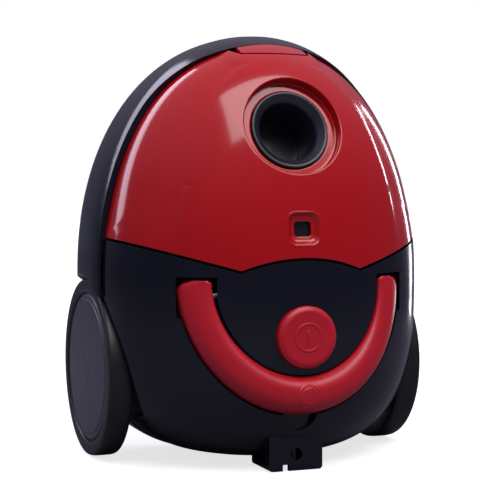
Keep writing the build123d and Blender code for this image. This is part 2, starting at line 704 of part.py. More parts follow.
def wheel_axles():
    """Stub axles pressed into the wells' bosses, with heads that keep the hubs on."""
    pin = rod_x(WELL_IN - 12, WHEEL_OUT - 4.6, WHEEL_Y, WHEEL_R, AXLE_R)
    head = rod_x(WHEEL_OUT - 5.6, WHEEL_OUT - 3.4, WHEEL_Y, WHEEL_R, AXLE_R + 3)
    return both_sides(pin + head)


def caster_fork():
    wheel_z = CASTER_Z - CASTER_TRAIL
    disc = rod_y(CASTER_WALL_Y + 0.4, CASTER_WALL_Y + 2.8, 0, CASTER_Z, 22)
    pivot = rod_y(CASTER_WALL_Y - 15, CASTER_WALL_Y + 1, 0, CASTER_Z, 5)
    wheel_y = WHEEL_Y + WHEEL_R - CASTER_WHEEL_R
    arm = block(8.5, 11.5, CASTER_WALL_Y + 1, wheel_y, wheel_z - 6, wheel_z + 12) + rod_x(8.5, 11.5, wheel_y, wheel_z, 6)
    arms = arm + mirror(arm, about=Plane.YZ)
    return (disc + pivot + arms) - rod_x(-13, 13, wheel_y, wheel_z, 2.0)


def caster_axle():
    return rod_x(-11.8, 11.8, WHEEL_Y + WHEEL_R - CASTER_WHEEL_R, CASTER_Z - CASTER_TRAIL, 2.0)


def caster_wheel():
    place = Pos(0, WHEEL_Y + WHEEL_R - CASTER_WHEEL_R, CASTER_Z - CASTER_TRAIL)
    face = Pos(0, CASTER_WHEEL_R / 2 + 1.1) * Rectangle(16, CASTER_WHEEL_R - 2.2)
    face = fillet(face.vertices().group_by(Axis.Y)[-1], 2.5)
    return place * revolve(Plane.XY * face, Axis.X)


# Motor, fan and exhaust


def motor_can():
    can = tube_z(CAN_Z, FAN_Z, MOTOR_X, MOTOR_Y, CAN_R, CAN_R - 1.5)
    bottom = tube_z(CAN_Z, CAN_Z + 2, MOTOR_X, MOTOR_Y, CAN_R - 1, BEARING_R)
    cup = tube_z(CAN_Z, CAN_Z + 8, MOTOR_X, MOTOR_Y, BEARING_R + 2, BEARING_R)
    can = can + bottom + cup
    for turn in range(0, 360, 45):
        can -= Pos(MOTOR_X, MOTOR_Y, CAN_Z) * Rot(0, 0, turn + 22.5) * Pos(27, 0, 0) * Cylinder(6, 10)
    for turn in (90, 270):
        can -= Pos(MOTOR_X, MOTOR_Y, CAN_Z + 16) * Rot(0, 0, turn) * Pos(CAN_R, 0, 0) * Box(12, 9, 11)
    return can


def fan_housing():
    """Round fan case whose lower plate closes the motor can and carries the upper bearing."""
    wall = tube_z(FAN_Z, MOTOR_TOP_Z, MOTOR_X, MOTOR_Y, FAN_R, FAN_R - 1.5)
    top = tube_z(MOTOR_TOP_Z - 1.5, MOTOR_TOP_Z, MOTOR_X, MOTOR_Y, FAN_R - 0.5, EYE_R - 2)
    plate = tube_z(FAN_Z, FAN_Z + 2, MOTOR_X, MOTOR_Y, FAN_R - 0.5, BEARING_R)
    cup = tube_z(FAN_Z, FAN_Z + 8, MOTOR_X, MOTOR_Y, BEARING_R + 2, BEARING_R)
    case = wall + top + plate + cup
    for turn in range(0, 360, 30):
        case -= Pos(MOTOR_X, MOTOR_Y, FAN_Z) * Rot(0, 0, turn) * Pos(32, 0, 0) * Cylinder(5, 10)
    return case


def impeller():
    low_z = FAN_Z + 11
    disc = tube_z(low_z, low_z + 1.5, MOTOR_X, MOTOR_Y, FAN_R - 5, SHAFT_R)
    shroud = tube_z(low_z + 14, low_z + 15.5, MOTOR_X, MOTOR_Y, FAN_R - 5, EYE_R - 1)
    hub = tube_z(low_z, low_z + 13, MOTOR_X, MOTOR_Y, 9, SHAFT_R)
    wheel = disc + shroud + hub
    blade = make_face(Curve() + [ThreePointArc((17, 0), (32, 9), (FAN_R - 5.5, 6)),
                                 Line((FAN_R - 5.5, 6), (FAN_R - 5.5, 7.4)),
                                 ThreePointArc((FAN_R - 5.5, 7.4), (32, 10.4), (17, 1.4)), Line((17, 1.4), (17, 0))])
    for turn in range(0, 360, 45):
        wheel += Pos(MOTOR_X, MOTOR_Y, low_z + 1) * Rot(0, 0, turn) * extrude(blade, 13.5)
    return wheel


def motor_shaft():
    return rod_z(CAN_Z + 0.5, FAN_Z + 26, MOTOR_X, MOTOR_Y, SHAFT_R)


def rotor_core():
    core = tube_z(CAN_Z + 30, CAN_Z + 54, MOTOR_X, MOTOR_Y, 22, SHAFT_R)
    for turn in range(0, 360, 30):
        core -= Pos(MOTOR_X, MOTOR_Y, CAN_Z + 42) * Rot(0, 0, turn) * Pos(21, 0, 0) * Box(6, 3, 30)
    return core


def commutator():
    return tube_z(CAN_Z + 10, CAN_Z + 23, MOTOR_X, MOTOR_Y, 11, SHAFT_R)


def stator_core():
    ring = tube_z(CAN_Z + 30, CAN_Z + 54, MOTOR_X, MOTOR_Y, CAN_R - 1.8, 23)
    windows = Pos(0, 31, 0) * Box(34, 7, 40) + Pos(0, -31, 0) * Box(34, 7, 40)
    return ring - Pos(MOTOR_X, MOTOR_Y, CAN_Z + 42) * windows


def field_coils():
    coils = []
    for side in (-1, 1):
        slab = Box(33, 6, 32)
        coils.append(Pos(MOTOR_X, MOTOR_Y + side * 31, CAN_Z + 42) * slab)
    return coils


def bearings():
    low = tube_z(CAN_Z + 1, CAN_Z + 8, MOTOR_X, MOTOR_Y, BEARING_R, SHAFT_R + 0.1)
    high = tube_z(FAN_Z + 1, FAN_Z + 8, MOTOR_X, MOTOR_Y, BEARING_R, SHAFT_R + 0.1)
    return [low, high]


def brushes():
    blocks = []
    for side in (-1, 1):
        blocks.append(Pos(MOTOR_X, MOTOR_Y + side * 19.7, CAN_Z + 16) * Box(6, 17, 8))
    return blocks


def brush_holders():
    holders = []
    for side in (-1, 1):
        tube = Box(8.6, 27, 10.6) - Box(6.2, 30, 8.2)
        holders.append(Pos(MOTOR_X, MOTOR_Y + side * 30, CAN_Z + 16) * tube)
    return holders


def motor_seal():
    return tube_z(MOTOR_TOP_Z, FLOOR_Z, MOTOR_X, MOTOR_Y, FAN_R - 8, EYE_R + 6)


def motor_mount():
    ring = tube_z(SHELF_Z, CAN_Z + 4, MOTOR_X, MOTOR_Y, CAN_R + 4, 36)
    return ring - rod_z(CAN_Z, CAN_Z + 5, MOTOR_X, MOTOR_Y, CAN_R)


def exhaust_grille():
    """Slotted plate in the base's rear end."""
    low_z = 6.3
    plate = block(-GRILLE_HALF_X, GRILLE_HALF_X, GRILLE_FRONT_Y, GRILLE_BACK_Y, low_z, 8.7)
    for step in range(-7, 8):
        slot_x = 4.8 * step
        plate -= block(slot_x - 1.3, slot_x + 1.3, GRILLE_FRONT_Y + 4, GRILLE_BACK_Y - 4, 5, 10)
    rim = block(-GRILLE_HALF_X - 2, GRILLE_HALF_X + 2, GRILLE_FRONT_Y - 2, GRILLE_BACK_Y + 2, 12.2, 13.6)
    rim -= block(-GRILLE_HALF_X + 4, GRILLE_HALF_X - 4, GRILLE_FRONT_Y + 4, GRILLE_BACK_Y - 4, 12, 14)
    posts = block(-GRILLE_HALF_X, -GRILLE_HALF_X + 2, GRILLE_FRONT_Y, GRILLE_BACK_Y, 8, 13)
    return plate + rim + posts + mirror(posts, about=Plane.YZ)


def exhaust_filter():
    return block(-GRILLE_HALF_X - 2, GRILLE_HALF_X + 2, GRILLE_FRONT_Y - 2, GRILLE_BACK_Y + 2, 13.6, 24)


# Cord reel and its brake

BRAKE_TURN = 135.0  # where the roller meets the flange
ROLLER_R = 6.0
LEVER_Y = -53.0
LEVER_Z = 151.0
BRACKET_X = REEL_SIDE + 7.0


def roller_place():
    reach = REEL_R + ROLLER_R + 0.4
    turn = math.radians(BRAKE_TURN)
    return REEL_Y + reach * math.cos(turn), REEL_Z + reach * math.sin(turn)


def reel_drum():
    left = REEL_X - REEL_HALF
    hub = tube_x(left, REEL_SIDE, REEL_Y, REEL_Z, REEL_HUB_R, REEL_BORE_R + 0.3)
    flanges = tube_x(left, left + 2, REEL_Y, REEL_Z, REEL_R, REEL_BORE_R + 0.3)
    flanges += tube_x(REEL_SIDE - 2, REEL_SIDE, REEL_Y, REEL_Z, REEL_R, REEL_BORE_R + 0.3)
    drum = hub + flanges
    drum -= tube_x(left + 3, REEL_SIDE - 3, REEL_Y, REEL_Z, REEL_HUB_R - 2, REEL_BORE_R + 3)
    for turn in range(0, 360, 60):
        window = Pos(left, REEL_Y, REEL_Z) * Rot(turn + 30, 0, 0) * Pos(0, 0, 41) * Rot(0, 90, 0) * Cylinder(9, 8)
        drum -= window
    return drum


def reel_shaft():
    pin = rod_x(REEL_X - REEL_HALF - 2, BRACKET_X + 3, REEL_Y, REEL_Z, REEL_BORE_R)
    return pin + rod_x(REEL_X - REEL_HALF - 2.4, REEL_X - REEL_HALF - 0.4, REEL_Y, REEL_Z, REEL_BORE_R + 3)


def reel_spring():
    """Flat spiral spring beside the drum, its inner end on the shaft."""
    outline = []
    turns = 4
    for step in range(turns * 16 + 1):
        turn = 2 * math.pi * step / 16
        reach = REEL_BORE_R + 0.6 + 2.6 * turn / (2 * math.pi)
        outline.append((reach * math.cos(turn), reach * math.sin(turn)))
    inner = Spline(outline)
    outer = Spline([(x * (1 + 0.8 / math.hypot(x, y)), y * (1 + 0.8 / math.hypot(x, y))) for x, y in outline])
    ends = [Line(inner @ 0, outer @ 0), Line(inner @ 1, outer @ 1)]
    band = extrude(make_face(Curve() + [inner, outer] + ends), 3.6)
    stub = Pos(REEL_BORE_R + 0.5, 0) * extrude(Rectangle(1.0, 2.0), 3.6)
    return Pos(REEL_SIDE + 0.7, REEL_Y, REEL_Z) * Rot(0, 90, 0) * (band + stub)


def reel_bracket():
    plate = block(BRACKET_X, BRACKET_X + 3, LEVER_Y - 5.5, 120, 40, LEVER_Z + 5.5) & base_void
    plate -= rod_x(BRACKET_X - 1, BRACKET_X + 4, REEL_Y, REEL_Z, REEL_BORE_R)
    plate -= rod_x(BRACKET_X - 1, BRACKET_X + 4, LEVER_Y, LEVER_Z, 2.5)
    for turn in (20, 90, 250, 320):
        plate -= Pos(BRACKET_X, REEL_Y, REEL_Z) * Rot(turn, 0, 0) * Pos(0, 0, 36) * Rot(0, 90, 0) * Cylinder(12, 12)
    return plate


def brake_lever():
    """Lever that swings on the bracket and presses the roller on the drum's flange."""
    y, z = roller_place()
    arm = make_hull([e for e in (Pos(LEVER_Y, LEVER_Z) * Circle(5)).edges() + (Pos(y, z) * Circle(4)).edges()])
    lever = Pos(REEL_SIDE + 1.6, 0, 0) * extrude(Plane.YZ * arm, 3)
    lever += rod_x(REEL_SIDE - 6, REEL_SIDE + 2, y, z, 2)
    lever += block(REEL_SIDE + 1.6, REEL_SIDE + 4.6, y - 1, y + 9, z + 4, z + 6)
    return lever - rod_x(REEL_SIDE, REEL_SIDE + 6, LEVER_Y, LEVER_Z, 2.7)


def brake_pin():
    return rod_x(REEL_SIDE + 1, BRACKET_X + 3, LEVER_Y, LEVER_Z, 2.5)


def brake_roller():
    y, z = roller_place()
    return tube_x(REEL_SIDE - 5, REEL_SIDE + 1, y, z, ROLLER_R, 2.2)


def brake_spring():
    y, z = roller_place()
    low_z = z + 6.1
    return Pos(REEL_SIDE + 3.1, y + 5.5, low_z) * coil(2.2, 0.4, FLOOR_Z - low_z - 0.1, 6)


def slip_contacts():
    """Insulating disc with two brass rings on the drum's left flange."""
    left = REEL_X - REEL_HALF
    return tube_x(left - 1.5, left, REEL_Y, REEL_Z, 20, 10)


def cord_gland():
    """Rounded eye in the running side where the mains cord leaves."""
    eye = rod_y(92, BASE_BACK_Y + 2, GLAND_X, GLAND_Z, GLAND_R) + rod_y(BASE_BACK_Y, BASE_BACK_Y + 2, GLAND_X, GLAND_Z,
                                                                         GLAND_R + 3)
    return eye - rod_y(90, BASE_BACK_Y + 4, GLAND_X, GLAND_Z, 4.5)


def case_screws():
    screws = []
    for x, z in boss_places():
        shank = rod_y(RIM_Y - 24, BOSS_BACK_Y, x, z, SCREW_R)
        screws.append(shank + rod_y(BOSS_BACK_Y, BOSS_BACK_Y + 2.4, x, z, SCREW_HEAD_R))
    return screws


def lid_gasket():
    """Rubber ring inside the lid's edge that closes on the base's rim."""
    ring = (dome_egg(WALL + 0.7) - dome_egg(WALL + 3.7)) & cover_space
    ring -= front_space(SEAM + 3.0)
    return ring & block(-200, 200, -200, 200, SIDE_Z + 4, 322)


PIECES = {
    "base_housing": base_housing,
    "rear_cover": rear_cover,
    "dust_cover": dust_cover,
    "lid_gasket": lid_gasket,
    "lid_hinge_pins": hinge_pins,
    "inlet_sleeve": inlet_sleeve,
    "window_lens": window_lens,
    "indicator_case": indicator_case,
    "indicator_shutter": indicator_shutter,
    "indicator_spring": indicator_spring,
    "latch_hook": latch_hook,
    "latch_pin": latch_pin,
    "latch_spring": latch_spring,
    "bag_gasket": bag_gasket,
    "bag_collar": bag_collar,
    "bag_holder": bag_holder,
    "dust_bag": dust_bag,
    "filter_frame": filter_frame,
    "filter_foam": filter_foam,
    "carry_handle": carry_handle,
    "handle_pins": handle_pins,
    "power_button": power_button,
    "button_spring": button_spring,
    "power_switch": power_switch,
    "wheel_axles": wheel_axles,
    "caster_fork": caster_fork,
    "caster_axle": caster_axle,
    "caster_wheel": caster_wheel,
    "motor_can": motor_can,
    "fan_housing": fan_housing,
    "impeller": impeller,
    "motor_shaft": motor_shaft,
    "rotor_core": rotor_core,
    "commutator": commutator,
    "stator_core": stator_core,
    "field_coils": field_coils,
    "motor_bearings": bearings,
    "brushes": brushes,
    "brush_holders": brush_holders,
    "motor_seal": motor_seal,
    "motor_mount": motor_mount,
    "exhaust_grille": exhaust_grille,
    "exhaust_filter": exhaust_filter,
    "reel_drum": reel_drum,
    "reel_shaft": reel_shaft,
    "reel_spring": reel_spring,
    "reel_bracket": reel_bracket,
    "slip_contacts": slip_contacts,
    "brake_lever": brake_lever,
    "brake_pin": brake_pin,
    "brake_roller": brake_roller,
    "brake_spring": brake_spring,
    "cord_gland": cord_gland,
    "case_screws": case_screws,
}
SIDED = {"tyre": tyre, "wheel_hub": wheel_hub, "hub_cap": hub_cap}


def solids_of(thing):
    if isinstance(thing, list):
        return [solid for piece in thing for solid in piece.solids()]
    return thing.solids()


def main():
    os.makedirs("parts", exist_ok=True)
    front_y = carry_handle().bounding_box().min.Y
    back_y = WHEEL_Y + WHEEL_R
    centre = Pos(0, -(front_y + back_y) / 2, 0)  # puts the middle of the depth over the origin
    for name, make in PIECES.items():
        export_step(centre * Compound(solids_of(make())), f"parts/{name}.step")
    for name, make in SIDED.items():
        right, left = both_sides(make())
        export_step(centre * Compound(solids_of(right)), f"parts/{name}_right.step")
        export_step(centre * Compound(solids_of(left)), f"parts/{name}_left.step")
    print("depth shift", -(front_y + back_y) / 2)


main()
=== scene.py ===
import bmesh
import bpy
import math
import numpy as np
from mathutils import Matrix, Vector


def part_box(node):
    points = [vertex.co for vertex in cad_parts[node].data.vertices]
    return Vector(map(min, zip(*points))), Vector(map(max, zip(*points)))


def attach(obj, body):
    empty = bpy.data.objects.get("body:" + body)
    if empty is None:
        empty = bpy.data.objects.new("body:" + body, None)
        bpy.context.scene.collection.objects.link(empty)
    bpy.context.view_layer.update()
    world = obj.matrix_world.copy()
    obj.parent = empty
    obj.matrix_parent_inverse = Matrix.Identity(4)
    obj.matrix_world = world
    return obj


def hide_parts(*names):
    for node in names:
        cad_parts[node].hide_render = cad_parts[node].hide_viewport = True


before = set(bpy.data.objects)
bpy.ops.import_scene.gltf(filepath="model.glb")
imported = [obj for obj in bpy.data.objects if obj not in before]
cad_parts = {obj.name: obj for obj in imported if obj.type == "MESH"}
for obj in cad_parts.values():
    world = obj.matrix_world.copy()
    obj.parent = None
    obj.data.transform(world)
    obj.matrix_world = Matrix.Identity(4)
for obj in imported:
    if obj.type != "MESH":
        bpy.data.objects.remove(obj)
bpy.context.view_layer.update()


# Camera: level with the middle of the machine and a little to the left of its nose, with a long
# lens, so that the left wheel shows almost face on and the covers keep their height.

AIM = Vector((0.0, 0.0, 0.170))
AZIMUTH = math.radians(-21.2)
ELEVATION = math.radians(2.86)
DISTANCE = 1.247

camera_data = bpy.data.cameras.new("studio_camera")
camera_data.lens = 112.7
camera_data.sensor_width = 36.0
camera_data.shift_x = -0.035
camera_data.shift_y = 0.018
camera = bpy.data.objects.new("studio_camera", camera_data)
camera.location = AIM + DISTANCE * Vector((
    math.sin(AZIMUTH) * math.cos(ELEVATION),
    -math.cos(AZIMUTH) * math.cos(ELEVATION),
    math.sin(ELEVATION),
))
camera.rotation_euler = (math.pi / 2 - ELEVATION, 0.0, AZIMUTH)
bpy.context.scene.collection.objects.link(camera)
bpy.context.scene.camera = camera


# Studio: a pale floor, an inclined soft box behind the left side whose reflection follows the
# lid's rim, a narrow strip behind the right side, and a large soft light above the front.

FLOOR_HALF = 6.0
WORLD_WHITE = 1.0
WORLD_LOW = (0.10, 0.10, 0.15)
WORLD_HIGH = (0.55, 0.50, 0.62)


def area_light(name, place, target, width, height, power, colour, roll=0.0):
    """A rectangular soft box at place that faces target, rolled about its own axis in degrees."""
    data = bpy.data.lights.new(name, "AREA")
    data.shape = "RECTANGLE"
    data.size = width
    data.size_y = height
    data.energy = power
    data.color = colour
    lamp = bpy.data.objects.new(name, data)
    lamp.location = place
    facing = (Vector(target) - Vector(place)).to_track_quat("-Z", "Y").to_matrix()
    lamp.rotation_euler = (facing @ Matrix.Rotation(math.radians(roll), 3, "Z")).to_euler()
    bpy.context.scene.collection.objects.link(lamp)
    return lamp


area_light("left_soft_box", (-0.75, 0.85, 0.85), (-0.08, -0.03, 0.25), 0.30, 1.35, 5.2,
           (0.86, 0.82, 1.0), 45.0)
area_light("right_strip", (1.00, 0.55, 0.30), (0.08, -0.02, 0.20), 0.07, 0.8, 2.6, (0.94, 0.94, 1.0))
area_light("overhead_front", (0.10, -0.95, 1.60), (0.0, -0.05, 0.20), 1.5, 1.0, 19.0, (1.0, 0.98, 0.98))

world = bpy.data.worlds.new("studio")
world.use_nodes = True
bpy.context.scene.world = world
world_nodes = world.node_tree.nodes
world_links = world.node_tree.links
world_nodes.clear()
seen = world_nodes.new("ShaderNodeBackground")
seen.inputs["Color"].default_value = (WORLD_WHITE, WORLD_WHITE, WORLD_WHITE, 1.0)
fill = world_nodes.new("ShaderNodeBackground")
sky_place = world_nodes.new("ShaderNodeTexCoord")
sky_split = world_nodes.new("ShaderNodeSeparateXYZ")
sky_rise = world_nodes.new("ShaderNodeMapRange")
sky_rise.interpolation_type = "SMOOTHSTEP"
sky_rise.inputs["From Min"].default_value = 0.05
sky_rise.inputs["From Max"].default_value = 1.0
sky_mix = world_nodes.new("ShaderNodeMix")
sky_mix.data_type = "RGBA"
sky_mix.inputs[6].default_value = (*WORLD_LOW, 1.0)
sky_mix.inputs[7].default_value = (*WORLD_HIGH, 1.0)
world_links.new(sky_place.outputs["Generated"], sky_split.inputs["Vector"])
world_links.new(sky_split.outputs["Z"], sky_rise.inputs["Value"])
world_links.new(sky_rise.outputs["Result"], sky_mix.inputs[0])
world_links.new(sky_mix.outputs[2], fill.inputs["Color"])
pick = world_nodes.new("ShaderNodeMixShader")
rays = world_nodes.new("ShaderNodeLightPath")
world_out = world_nodes.new("ShaderNodeOutputWorld")
world_links.new(rays.outputs["Is Camera Ray"], pick.inputs["Fac"])
world_links.new(fill.outputs["Background"], pick.inputs[1])
world_links.new(seen.outputs["Background"], pick.inputs[2])
world_links.new(pick.outputs["Shader"], world_out.inputs["Surface"])
bpy.context.scene.view_settings.view_transform = "Standard"

floor_mesh = bpy.data.meshes.new("studio_floor")
floor_mesh.from_pydata(
    [(-FLOOR_HALF, -FLOOR_HALF, 0), (FLOOR_HALF, -FLOOR_HALF, 0), (FLOOR_HALF, FLOOR_HALF, 0),
     (-FLOOR_HALF, FLOOR_HALF, 0)], [], [(0, 1, 2, 3)])
floor = bpy.data.objects.new("studio_floor", floor_mesh)
bpy.context.scene.collection.objects.link(floor)
floor_look = bpy.data.materials.new("floor_white")
floor_look.use_nodes = True
floor_shader = floor_look.node_tree.nodes["Principled BSDF"]
floor_shader.inputs["Base Color"].default_value = (0.62, 0.62, 0.64, 1.0)
floor_shader.inputs["Roughness"].default_value = 0.9
floor_shader.inputs["Specular IOR Level"].default_value = 0.1
floor_shader.inputs["Emission Color"].default_value = (1.0, 1.0, 1.0, 1.0)
far_place = floor_look.node_tree.nodes.new("ShaderNodeTexCoord")
far_length = floor_look.node_tree.nodes.new("ShaderNodeVectorMath")
far_length.operation = "LENGTH"
far_glow = floor_look.node_tree.nodes.new("ShaderNodeMapRange")
for socket, value in (("From Min", 0.25), ("From Max", 1.6), ("To Min", 0.74), ("To Max", 1.0)):
    far_glow.inputs[socket].default_value = value
floor_look.node_tree.links.new(far_place.outputs["Object"], far_length.inputs[0])
floor_look.node_tree.links.new(far_length.outputs["Value"], far_glow.inputs["Value"])
floor_look.node_tree.links.new(far_glow.outputs["Result"], floor_shader.inputs["Emission Strength"])
dim = floor_look.node_tree.nodes.new("ShaderNodeBsdfDiffuse")
dim.inputs["Color"].default_value = (0.20, 0.20, 0.24, 1.0)
floor_rays = floor_look.node_tree.nodes.new("ShaderNodeLightPath")
floor_mix = floor_look.node_tree.nodes.new("ShaderNodeMixShader")
floor_look.node_tree.links.new(floor_rays.outputs["Is Camera Ray"], floor_mix.inputs["Fac"])
floor_look.node_tree.links.new(dim.outputs["BSDF"], floor_mix.inputs[1])
floor_look.node_tree.links.new(floor_shader.outputs["BSDF"], floor_mix.inputs[2])
floor_look.node_tree.links.new(
    floor_mix.outputs["Shader"], floor_look.node_tree.nodes["Material Output"].inputs["Surface"])
floor_mesh.materials.append(floor_look)


# Base and rear cover: gloss black polypropylene mouldings with a blue cast, polished moulds with
# a trace of flow marks. Their shapes are the CAD's own; the finish is one node group of plastic.

low_corner, high_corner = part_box("tyre_right")
WHEEL_Y = 39.5
DEPTH_SHIFT = (low_corner.y + high_corner.y) / 2 - WHEEL_Y * 0.001


def moulded_group():
    """Node group for moulded plastic: soft flow clouds between two colours and two roughnesses,
    and a fine grain height. All of it follows Object coordinates."""
    group = bpy.data.node_groups.new("moulded_plastic", "ShaderNodeTree")
    for name, kind, value in (
        ("Colour", "NodeSocketColor", (0.1, 0.1, 0.1, 1.0)),
        ("Second Colour", "NodeSocketColor", (0.1, 0.1, 0.1, 1.0)),
        ("Cloud Scale", "NodeSocketFloat", 18.0),
        ("Grain Scale", "NodeSocketFloat", 900.0),
        ("Low Roughness", "NodeSocketFloat", 0.2),
        ("High Roughness", "NodeSocketFloat", 0.3),
    ):
        socket = group.interface.new_socket(name, in_out="INPUT", socket_type=kind)
        socket.default_value = value
    for name, kind in (("Colour", "NodeSocketColor"), ("Roughness", "NodeSocketFloat"),
                       ("Height", "NodeSocketFloat")):
        group.interface.new_socket(name, in_out="OUTPUT", socket_type=kind)
    nodes = group.nodes
    links = group.links
    given = nodes.new("NodeGroupInput")
    out = nodes.new("NodeGroupOutput")
    place = nodes.new("ShaderNodeTexCoord")
    cloud = nodes.new("ShaderNodeTexNoise")
    cloud.inputs["Detail"].default_value = 3.0
    grain = nodes.new("ShaderNodeTexNoise")
    grain.inputs["Detail"].default_value = 2.0
    blend = nodes.new("ShaderNodeMix")
    blend.data_type = "RGBA"
    spread = nodes.new("ShaderNodeMapRange")
    spread.inputs["From Min"].default_value = 0.3
    spread.inputs["From Max"].default_value = 0.7
    links.new(place.outputs["Object"], cloud.inputs["Vector"])
    links.new(place.outputs["Object"], grain.inputs["Vector"])
    links.new(given.outputs["Cloud Scale"], cloud.inputs["Scale"])
    links.new(given.outputs["Grain Scale"], grain.inputs["Scale"])
    links.new(cloud.outputs["Fac"], blend.inputs[0])
    links.new(given.outputs["Colour"], blend.inputs[6])
    links.new(given.outputs["Second Colour"], blend.inputs[7])
    links.new(cloud.outputs["Fac"], spread.inputs["Value"])
    links.new(given.outputs["Low Roughness"], spread.inputs["To Min"])
    links.new(given.outputs["High Roughness"], spread.inputs["To Max"])
    links.new(blend.outputs[2], out.inputs["Colour"])
    links.new(spread.outputs["Result"], out.inputs["Roughness"])
    links.new(grain.outputs["Fac"], out.inputs["Height"])
    return group


MOULDED = moulded_group()


def moulded(name, colour, second, low, high, grain, bump, cloud=18.0, metallic=0.0, coat=0.0):
    """A material of moulded, cast or rolled stock: the shared group feeds one Principled BSDF with
    its two colours, low and high roughness, and grain scale."""
    material = bpy.data.materials.new(name)
    material.use_nodes = True
    nodes = material.node_tree.nodes
    links = material.node_tree.links
    shader = nodes["Principled BSDF"]
    source = nodes.new("ShaderNodeGroup")
    source.node_tree = MOULDED
    source.inputs["Colour"].default_value = (*colour, 1.0)
    source.inputs["Second Colour"].default_value = (*second, 1.0)
    source.inputs["Cloud Scale"].default_value = cloud
    source.inputs["Grain Scale"].default_value = grain
    source.inputs["Low Roughness"].default_value = low
    source.inputs["High Roughness"].default_value = high
    relief = nodes.new("ShaderNodeBump")
    relief.inputs["Strength"].default_value = bump
    relief.inputs["Distance"].default_value = 0.0002
    links.new(source.outputs["Colour"], shader.inputs["Base Color"])
    links.new(source.outputs["Roughness"], shader.inputs["Roughness"])
    links.new(source.outputs["Height"], relief.inputs["Height"])
    links.new(relief.outputs["Normal"], shader.inputs["Normal"])
    shader.inputs["Metallic"].default_value = metallic
    shader.inputs["Coat Weight"].default_value = coat
    shader.inputs["Coat Roughness"].default_value = 0.04
    return material


def paint(material, *nodes):
    """Gives the named CAD nodes one finish."""
    for name in nodes:
        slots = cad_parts[name].data.materials
        slots.clear()
        slots.append(material)


gloss_black = moulded("gloss_black", (0.0042, 0.0050, 0.0120), (0.0056, 0.0066, 0.0150),
                      0.13, 0.19, 1400.0, 0.02)
paint(gloss_black, "base_housing", "rear_cover")


# Lid: one glossy deep-red ABS moulding over the dust chamber. A raised inner panel with a soft
# crease round it carries the hose inlet's recess; the lower edge is an arch between two points.

SKIN_POWER = 1.92
SKIN_HALF = 134.5
SKIN_DEPTH = 96.5
SKIN_TOP = 339.2
SKIN_MID_Y = -8.0
BEND_Z = 285.0
BEND_R = 72.5
LID_T = 2.5
TIP_X = 49.5
TIP_Z = 157.0
SIDE_Z = 181.0
ARCH_Z = 166.5
HALF_GAP = 0.85
TAB_X = 28.5
TAB_Z = 327.5
NOTCH_X = 34.0
INLET = np.array((0.0, -76.0, 268.0))
INLET_TILT = math.radians(20.0)
INLET_OUT = np.array((0.0, -math.cos(INLET_TILT), math.sin(INLET_TILT)))
INLET_UP = np.array((0.0, math.sin(INLET_TILT), math.cos(INLET_TILT)))
RECESS_R = 40.0
RECESS_FLOOR = -6.0
SLEEVE_R = 32.0
CREASE = np.array([(0, 323), (18, 321.5), (34, 315), (48, 303), (58, 291), (66, 276), (73.5, 258),
                   (81, 236), (87, 212), (91, 190), (93, 160)], float)

WINDOW_Z = 190.0
WINDOW_TILT = math.radians(6.0)
CREASE_DROP = 2.7
CREASE_SIDE = 5.0
CREASE_RETURN = 18.0


def fullness(z, low, mid, high, low_power, high_power):
    """(1 - share^p)^(1/p): share runs from 0 at mid to 1 at low or high."""
    share = np.where(z >= mid, (z - mid) / (high - mid), (mid - z) / (mid - low))
    power = np.where(z >= mid, high_power, low_power)
    return np.maximum(0.0, 1.0 - np.clip(share, 0.0, 1.0) ** power) ** (1.0 / power)


def skin_size(z, inset):
    """Half width and depth of the covers' level outline at height z."""
    low = 4.0 + inset
    high = SKIN_TOP - inset
    wide = (SKIN_HALF - inset) * fullness(z, low, 150.0, high, 3.1, 2.1)
    deep = (SKIN_DEPTH - inset) * fullness(z, low, 120.0, high, 3.2, 2.3)
    return wide, deep


def skin_point(turn, z, inset=0.0):
    """x = w sin^(2/p) turn, y = mid - d cos^(2/p) turn: a superellipse at every height."""
    wide, deep = skin_size(z, inset)
    across = np.sign(turn) * np.abs(np.sin(turn)) ** (2 / SKIN_POWER)
    along = np.abs(np.cos(turn)) ** (2 / SKIN_POWER)
    return np.stack((wide * across, SKIN_MID_Y - deep * along, z + 0.0 * turn), -1)


def skin_y(x, z, inset=0.0):
    """Depth of the covers' skin at x and z."""
    wide, deep = skin_size(z, inset)
    share = np.clip(np.abs(x) / np.maximum(wide, 1e-6), 0.0, 1.0)
    return SKIN_MID_Y - deep * (1.0 - share ** SKIN_POWER) ** (1 / SKIN_POWER)


def skin_turn(x, z):
    """The turn of skin_point at which the outline at height z has that x."""
    wide, _ = skin_size(z, 0.0)
    share = np.clip(np.abs(x) / wide, 0.0, 1.0)
    return np.sign(x) * np.arcsin(share ** (SKIN_POWER / 2))


def skin_normal(points):
    """Outward unit normal: the gradient of |x/w(z)|^p + |(y - mid)/d(z)|^p."""
    def level(p):
        wide, deep = skin_size(p[..., 2], 0.0)
        wide = np.maximum(wide, 1e-3)
        deep = np.maximum(deep, 1e-3)
        across = np.abs(p[..., 0] / wide)
        along = np.abs((p[..., 1] - SKIN_MID_Y) / deep)
        return across ** SKIN_POWER + along ** SKIN_POWER
    step = 0.05
    parts = []
    for axis in range(3):
        shift = np.zeros(3)
        shift[axis] = step
        parts.append(level(points + shift) - level(points - shift))
    normal = np.stack(parts, -1)
    return normal / np.maximum(np.linalg.norm(normal, axis=-1, keepdims=True), 1e-9)


def cover_edge_y(z):
    """Back edge of the covers: straight, then an arc that sweeps forward over the nose."""
    rise = np.clip(z - BEND_Z, 0.0, BEND_R - 1e-6)
    return SKIN_MID_Y - 0.5 - (BEND_R - np.sqrt(BEND_R**2 - rise**2))


